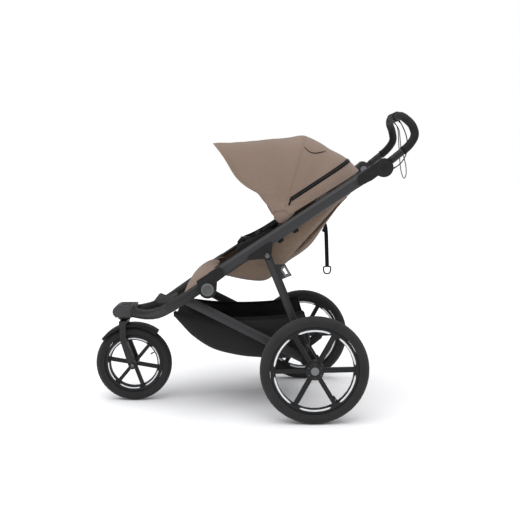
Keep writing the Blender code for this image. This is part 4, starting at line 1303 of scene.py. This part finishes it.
def seat_tub():
    """The fabric shell that hangs between the tubes: seat, sides and back in one."""
    rows = []
    for n in range(TUB_STATIONS + 1):
        t = n / TUB_STATIONS
        rib = tub_section(t, TUB_POINTS)
        for k, place in enumerate(rib):
            v = abs(1 - 2 * k / (len(rib) - 1))
            fading = hump(v, 0.62, 0.2) * math.sin(math.pi * min(t * 1.05, 1))
            pucker = 0.0022 * math.sin(46 * t + 3 * v) * fading
            place.x += math.copysign(pucker, place.x) if abs(place.x) > 0.01 else 0
            place.z -= pucker * 0.4
            if abs(place.x) > 0.06:
                place.x -= math.copysign(side_fold(place), place.x)
        rows.append(rib)
    # the tub's cloth is painted darker than the seat cloth: painted shade from the hood and the tubes above
    # it
    made = grid("seat_tub", rows, SHADED_TUB_CLOTH)
    thicken(made, 0.0024)
    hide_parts("seat_base", "seat_back")
    bend_with_back(made)
    for label, side in SIDES:
        lip = evenly(column(rows, 0, side), 80)
        edge = sweep("seat_piping_" + label, lip, (1, 0, 0), ring_outline(0.0042, 10), PIPING)
        seam = [p + Vector((side * 0.0016, 0, -0.0004)) for p in column(rows, SIDE_SEAM, side)[5:-5:2]]
        thread = stitches("seat_side_stitches_" + label, evenly(seam, 90), (side, 0, 0), THREAD)
        back = [p + Vector((side * 0.0016, 0.0012, -0.001)) for p in column(rows, BACK_WELT, side)[65:-2:2]]
        welt = cable("seat_back_piping_" + label, evenly(back, 60), 0.0024, SEAT_CLOTH, points=8)
        for trim in (edge, thread, welt):
            bend_with_back(trim)
    front = sweep("seat_front_binding", evenly(tub_section(0.0), 60), (0, -0.6, 0.8),
                  rounded(0.006, 0.004, 0.0018), PIPING)
    bend_with_back(front)
    top = sweep("seat_top_binding", evenly(tub_section(1.0), 60), (0, 0.8, 0.6),
                rounded(0.008, 0.0046, 0.002), SEAT_CLOTH)
    bend_with_back(top)


PRESSURE = 4.0
SIMULATED_FRAMES = 20
PAD_VOXEL, SMALL_PAD_VOXEL = 0.0052, 0.0034
PAD_SWELL, SMALL_PAD_SWELL = 0.008, 0.003


def slab(name, top_line, thickness, half_width, made_of, corner=0.35, taper=None, count=24):
    """A closed pad: a line of the side view, given width across and thickness below, with rounded corners."""
    path = evenly(side_path(top_line, 0.0, 6), count)
    ahead = tangents(path)
    rows = []
    for n, (place, direction) in enumerate(zip(path, ahead)):
        t = n / (count - 1)
        down = Vector((1, 0, 0)).cross(direction)
        if down.z > 0:
            down = -down
        ends = min(1.0, (min(t, 1 - t) / 0.07) ** 0.5) if min(t, 1 - t) < 0.07 else 1.0
        width = half_width * (1 if taper is None else taper(t)) * (0.9 + 0.1 * ends)
        deep = thickness * (0.35 + 0.65 * ends)
        middle = place + down * thickness / 2
        row = []
        for k in range(32):
            turn = 2 * math.pi * k / 32
            x = width * math.copysign(abs(math.cos(turn)) ** corner, math.cos(turn))
            up = deep / 2 * math.copysign(abs(math.sin(turn)) ** 0.7, math.sin(turn))
            row.append(middle + Vector((x, 0, 0)) - down * up)
        rows.append(row)
    return grid(name, rows, made_of, None, False, True, True)


def puff(thing, voxel, limit):
    """Inflates a closed pad with a short cloth simulation, no point moving more than the limit."""
    remesh = thing.modifiers.new("remesh", "REMESH")
    remesh.mode = "VOXEL"
    remesh.voxel_size = voxel
    remesh.use_smooth_shade = True
    settle(thing)
    scene = bpy.context.scene
    scene.frame_start, scene.frame_end = 1, SIMULATED_FRAMES
    cloth = thing.modifiers.new("cloth", "CLOTH")
    cloth.settings.use_pressure = True
    cloth.settings.uniform_pressure_force = PRESSURE
    cloth.settings.quality = 6
    cloth.settings.mass = 0.3
    cloth.settings.tension_stiffness = 20
    cloth.settings.compression_stiffness = 20
    cloth.settings.bending_stiffness = 2
    cloth.settings.effector_weights.gravity = 0
    cloth.point_cache.frame_start = 1
    cloth.point_cache.frame_end = SIMULATED_FRAMES
    before = [v.co.copy() for v in thing.data.vertices]
    for step in range(1, SIMULATED_FRAMES + 1):
        scene.frame_set(step)
    graph = bpy.context.evaluated_depsgraph_get()
    swollen = thing.evaluated_get(graph).to_mesh()
    after = [v.co.copy() for v in swollen.vertices]
    thing.evaluated_get(graph).to_mesh_clear()
    thing.modifiers.clear()
    for vertex, old, new in zip(thing.data.vertices, before, after):
        move = new - old
        if move.length > limit:
            move = move.normalized() * limit
        vertex.co = old + move
    scene.frame_set(1)
    finer = thing.modifiers.new("smooth", "SUBSURF")
    finer.levels = 1
    finer.render_levels = 1
    settle(thing)
    thing.data.shade_smooth()


def press(thing, aside, depth, width, facing):
    """Sinks a sewn channel into a pad at each side, aside from its middle, where it looks along facing."""
    facing = Vector(facing)
    normals = [v.normal.copy() for v in thing.data.vertices]
    for vertex, normal in zip(thing.data.vertices, normals):
        shown = max(normal.dot(facing), 0.0)
        if shown > 0:
            vertex.co -= normal * depth * shown * hump(abs(vertex.co.x), aside, width)
    thing.data.update()


def seat_pad(name, line, thickness, half_width, channel, depth, facing, body, taper=None):
    """One cushion, inflated and then sewn into channels."""
    made = slab(name, line, thickness, half_width, LINING, taper=taper)
    puff(made, PAD_VOXEL, PAD_SWELL)
    press(made, channel, depth, 0.0045, facing)
    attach(made, body)


def seat_pads():
    """The seat cushion, the back pad and the head pad."""
    base = [(-0.108, 0.548), (-0.085, 0.556), (-0.045, 0.572), (0.025, 0.586), (0.084, 0.592)]
    seat_pad("seat_cushion", base, 0.024, 0.158, 0.055, 0.004, (0, 0, 1), "upper_frame")
    seat_pad("back_cushion", [(0.118, 0.615), (0.162, 0.67), (0.205, 0.719), (0.246, 0.766)],
             0.026, 0.15, 0.05, 0.004, (0, -0.75, 0.66), "seat_back", lambda t: 1 - 0.05 * t)
    seat_pad("head_cushion", [(0.254, 0.775), (0.292, 0.815), (0.338, 0.862)],
             0.024, 0.136, 0.085, 0.003, (0, -0.75, 0.66), "seat_back", lambda t: 1 - 0.1 * t ** 2)


def legrest():
    """The calf rest: a padded apron from the seat's front edge down to the footrest."""
    line = [(-0.116, 0.556), (-0.138, 0.554), (-0.16, 0.5495), (-0.18, 0.5405), (-0.202, 0.524),
            (-0.222, 0.502), (-0.236, 0.479), (-0.244, 0.461)]
    made = slab("legrest_pad", line, 0.021, 0.152, SEAT_CLOTH, corner=0.25)
    puff(made, PAD_VOXEL, 0.007)
    press(made, 0.118, 0.0035, 0.004, (0, -0.6, 0.8))
    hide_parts("legrest")
    bend_with_leg(made)


def leg_gussets():
    """The fabric sides between the calf rest's top edge and the front tubes."""
    upper = evenly(side_path([(-0.106, 0.565), (-0.13, 0.559), (-0.154, 0.554), (-0.178, 0.544),
                              (-0.201, 0.527), (-0.222, 0.505), (-0.238, 0.48), (-0.246, 0.461)]), 34)
    lower = evenly(side_path([(-0.095, 0.542), (-0.125, 0.52), (-0.15, 0.5), (-0.175, 0.481),
                              (-0.205, 0.462), (-0.238, 0.447)]), 34)
    for label, side in SIDES:
        rows = []
        for n, (top, foot) in enumerate(zip(upper, lower)):
            t = n / (len(upper) - 1)
            row = []
            for k in range(13):
                down = k / 12
                swell = 0.0075 * math.sin(math.pi * down) ** 0.8
                tuck = 0.0022 * math.sin(19 * t + 2.0 * down) * math.sin(math.pi * down)
                x = 0.154 + (0.05 - 0.022 * ease((t - 0.55) / 0.45)) * down ** 0.8 + swell + tuck
                place = top.lerp(foot, down)
                row.append((side * x, place.y - 0.25 * swell, place.z + 0.35 * swell))
            rows.append(row)
        made = grid("leg_gusset_" + label, rows, SEAT_CLOTH)
        thicken(made, 0.0022)
        bend_with_leg(made)
        edge = cable("leg_gusset_edge_" + label, [(side * 0.1545, p.y, p.z) for p in upper], 0.002,
                     SEAT_CLOTH, points=8)
        bend_with_leg(edge)


def bend_with_leg(thing):
    """Bakes the piece's placement into its mesh."""
    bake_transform(thing)


# ---- harness ------------------------------------------------------------------------------------
def bend_with_straps(thing):
    """Bakes the piece's placement into its mesh."""
    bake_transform(thing)


def harness_pad(name, line, thickness, half_width, voxel, count, x=0.0):
    """A small padded sleeve, its middle at x."""
    made = slab(name, line, thickness, half_width, PAD_CLOTH, corner=0.4, count=count)
    for vertex in made.data.vertices:
        vertex.co.x += x
    puff(made, voxel, SMALL_PAD_SWELL)
    return made


SHOULDER_X = 0.044
SHOULDER_WEB = [(0.002, 0.658), (0.03, 0.674), (0.064, 0.6925), (0.113, 0.725), (0.174, 0.7415),
                (0.235, 0.751)]
SHOULDER_PAD = [(0.05, 0.69), (0.08, 0.7085), (0.113, 0.73), (0.15, 0.7405), (0.195, 0.7495)]
ADJUSTER = [(0.028, 0.669), (0.046, 0.68), (0.043, 0.6865), (0.025, 0.6755)]
WAIST_WEB = [(0.022, -0.012, 0.656), (0.06, 0.004, 0.653), (0.11, 0.04, 0.64), (0.15, 0.082, 0.628),
             (0.166, 0.108, 0.622)]
BOLSTER = [(-0.04, 0.606), (-0.024, 0.633), (0.018, 0.652), (0.0636, 0.676), (0.108, 0.702)]
KEEPER = [(0.15, 0.074, 0.648), (0.164, 0.098, 0.672), (0.172, 0.118, 0.7)]


def harness():
    """Five-point harness: crotch pad, padded shoulder straps with adjusters, waist straps and side wings."""
    line = [(-0.028, 0.578), (-0.035, 0.6), (-0.042, 0.62), (-0.033, 0.64), (-0.0255, 0.651)]
    crotch = harness_pad("crotch_pad", line, 0.011, 0.021, 0.0032, 16)
    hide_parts("crotch_strap")
    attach(crotch, "upper_frame")
    for label, side in SIDES:
        x = side * SHOULDER_X
        web = sweep("shoulder_web_" + label, side_path(SHOULDER_WEB, x, 6), (1, 0, 0),
                    rounded(0.025, 0.0018, 0.0018 * 0.45), WEBBING)
        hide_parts("shoulder_strap_" + label)
        pad = harness_pad("shoulder_pad_" + label, SHOULDER_PAD, 0.0105, 0.0225, SMALL_PAD_VOXEL, 16, x)
        adjuster = plate("adjuster_" + label, ADJUSTER, x - 0.0165, x + 0.0165, PLASTIC, None, 0.0015)
        waist = mirrored(smooth_path(WAIST_WEB, 6), side)
        sweep("waist_web_" + label, waist, (0.0, 0.35, 0.94), rounded(0.024, 0.0018, 0.0008), WEBBING,
              "upper_frame")
        bolster = sweep("side_bolster_" + label, side_path(BOLSTER, side * 0.15), (1, 0, 0),
                        rounded(0.017, 0.037, 0.008, 5), PAD_CLOTH,
                        swell=lambda t: 0.35 + 0.65 * ease(7 * t) * ease(7 * (1 - t)))
        for strap in (web, pad, adjuster, bolster):
            bend_with_straps(strap)
        keeper = mirrored(smooth_path(KEEPER, 5), side)
        sweep("side_keeper_" + label, keeper, (0, 0.7, -0.7), rounded(0.016, 0.003, 0.0012), WEBBING,
              "upper_frame")


# ---- basket -------------------------------------------------------------------------------------
# y, keel and rim
BASKET_LINES = [(-0.284, 0.366, 0.392), (-0.262, 0.336, 0.388), (-0.216, 0.283, 0.382),
                (-0.139, 0.232, 0.375), (-0.036, 0.205, 0.372), (0.043, 0.197, 0.374), (0.11, 0.192, 0.378),
                (0.16, 0.198, 0.384), (0.19, 0.222, 0.39), (0.205, 0.296, 0.392)]
BASKET_LEAN = 0.3          # how far the rear wall's foot reaches back, as a share of its height


def crumple_with_fold(thing):
    """Gives the piece a mesh of its own."""
    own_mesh(thing)


def basket():
    """The fabric tub: a lofted shell that sags between its rim bands."""
    lines = smooth_path(BASKET_LINES, 5)
    rows = []
    for n, (y, keel, rim) in enumerate(lines):
        t = n / (len(lines) - 1)
        row = []
        for k in range(41):
            turn = math.pi * k / 40
            side = math.copysign(abs(math.cos(turn)) ** 0.42, math.cos(turn))
            down = math.sin(turn) ** 0.52
            sag = 0.006 * math.sin(math.pi * t) * math.sin(turn) ** 4
            dip = 0.006 * math.sin(math.pi * t) * (1 - down)
            bulge = 0.005 * math.sin(math.pi * min(1, down * 1.1)) * math.sin(math.pi * t) ** 0.5
            crease = 0.0016 * math.sin(38 * t + 5 * down) * math.sin(math.pi * down) * hump(t, 0.85, 0.25)
            x = (BASKET_WIDTH + bulge + crease) * side
            low = (rim - dip - keel) * down
            row.append((x, y + BASKET_LEAN * low * ease((t - 0.62) / 0.38), rim - dip - low - sag * 0.4))
        rows.append(row)
    made = grid("basket_shell", rows, CANVAS)
    thicken(made, 0.0022)
    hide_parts("basket")
    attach(made, "lower_chassis")
    crumple_with_fold(made)
    for label, side in SIDES:
        path = evenly(column(rows, 0, side), 70)
        rim = sweep("basket_rim_" + label, path, (1, 0, 0), rounded(0.006, 0.0105, 0.0026), PIPING,
                    "lower_chassis")
        crumple_with_fold(rim)
    for name, row in (("basket_front_edge", rows[0]), ("basket_rear_edge", rows[-1])):
        crumple_with_fold(cable(name, evenly(row, 50), 0.003, PIPING, "lower_chassis", points=8))
    for label, side in SIDES:
        seam = [p + Vector((side * 0.0013, 0, -0.0012)) for p in evenly(column(rows, 9, side), 80)]
        line = stitches("basket_stitches_" + label, seam, (side * 0.8, 0, -0.6), DARK_THREAD,
                        body="lower_chassis")
        crumple_with_fold(line)


# ---- surroundings -------------------------------------------------------------------------------
LAMP_STRENGTH = 2.75
LAMP_SPREAD = math.radians(75)
LAMP_DIRECTION = (-0.32, 0.12, -1.0)
WALL_STRENGTH = 0.46
FLOOR_REACH = 60                   # metres each way, so that its far edge is never seen


def studio():
    """The pale floor, the white walls and one soft lamp overhead."""
    bpy.context.scene.view_settings.view_transform = "Standard"
    corners = [(x * FLOOR_REACH, y * FLOOR_REACH, 0) for x, y in ((-1, -1), (1, -1), (1, 1), (-1, 1))]
    floor = piece("floor", corners, [(0, 1, 2, 3)], floor_material(), smooth=False)
    studio_walls()
    lamp = bpy.data.lights.new("overhead", "SUN")
    lamp.energy = LAMP_STRENGTH
    lamp.angle = LAMP_SPREAD
    made = bpy.data.objects.new("overhead", lamp)
    bpy.context.scene.collection.objects.link(made)
    made.rotation_euler = Vector(LAMP_DIRECTION).to_track_quat("-Z", "Y").to_euler()


def studio_walls():
    """White walls as the eye sees them, with less light coming off them than from overhead."""
    world = bpy.data.worlds.new("studio")
    bpy.context.scene.world = world
    world.use_nodes = True
    tree = world.node_tree
    seen = tree.nodes["Background"]
    seen.inputs["Color"].default_value = (1.0, 1.0, 1.0, 1.0)
    seen.inputs["Strength"].default_value = 1.0
    given = tree.nodes.new("ShaderNodeBackground")
    given.inputs["Color"].default_value = (0.97, 0.98, 1.0, 1.0)
    given.inputs["Strength"].default_value = WALL_STRENGTH
    which = tree.nodes.new("ShaderNodeMixShader")
    tree.links.new(tree.nodes.new("ShaderNodeLightPath").outputs["Is Camera Ray"], which.inputs[0])
    tree.links.new(given.outputs[0], which.inputs[1])
    tree.links.new(seen.outputs[0], which.inputs[2])
    tree.links.new(which.outputs[0], tree.nodes["World Output"].inputs["Surface"])


def floor_material():
    made = Surface("floor_paint", 0.9, specular_ior_level=0.1)
    cloud = made.noise(0.9, 2.0)
    made.colour(made.ramp(cloud, (0.3, shade(250, 250, 251)), (0.7, shade(253, 253, 254))))
    return made.material


set_camera()
recline_strap()
wrist_strap()
brake_cable()
studio()
paint_nodes()
wheels()
frame_fittings()
catch_cover()
head_details()
footrest_ribs()
grips()
twist_grip()
hood_sheet()
hood_trim()
hood_tongues()
seat_tub()
fold_shade_strip()
head_vent()
seat_pads()
legrest()
leg_gussets()
harness()
basket()
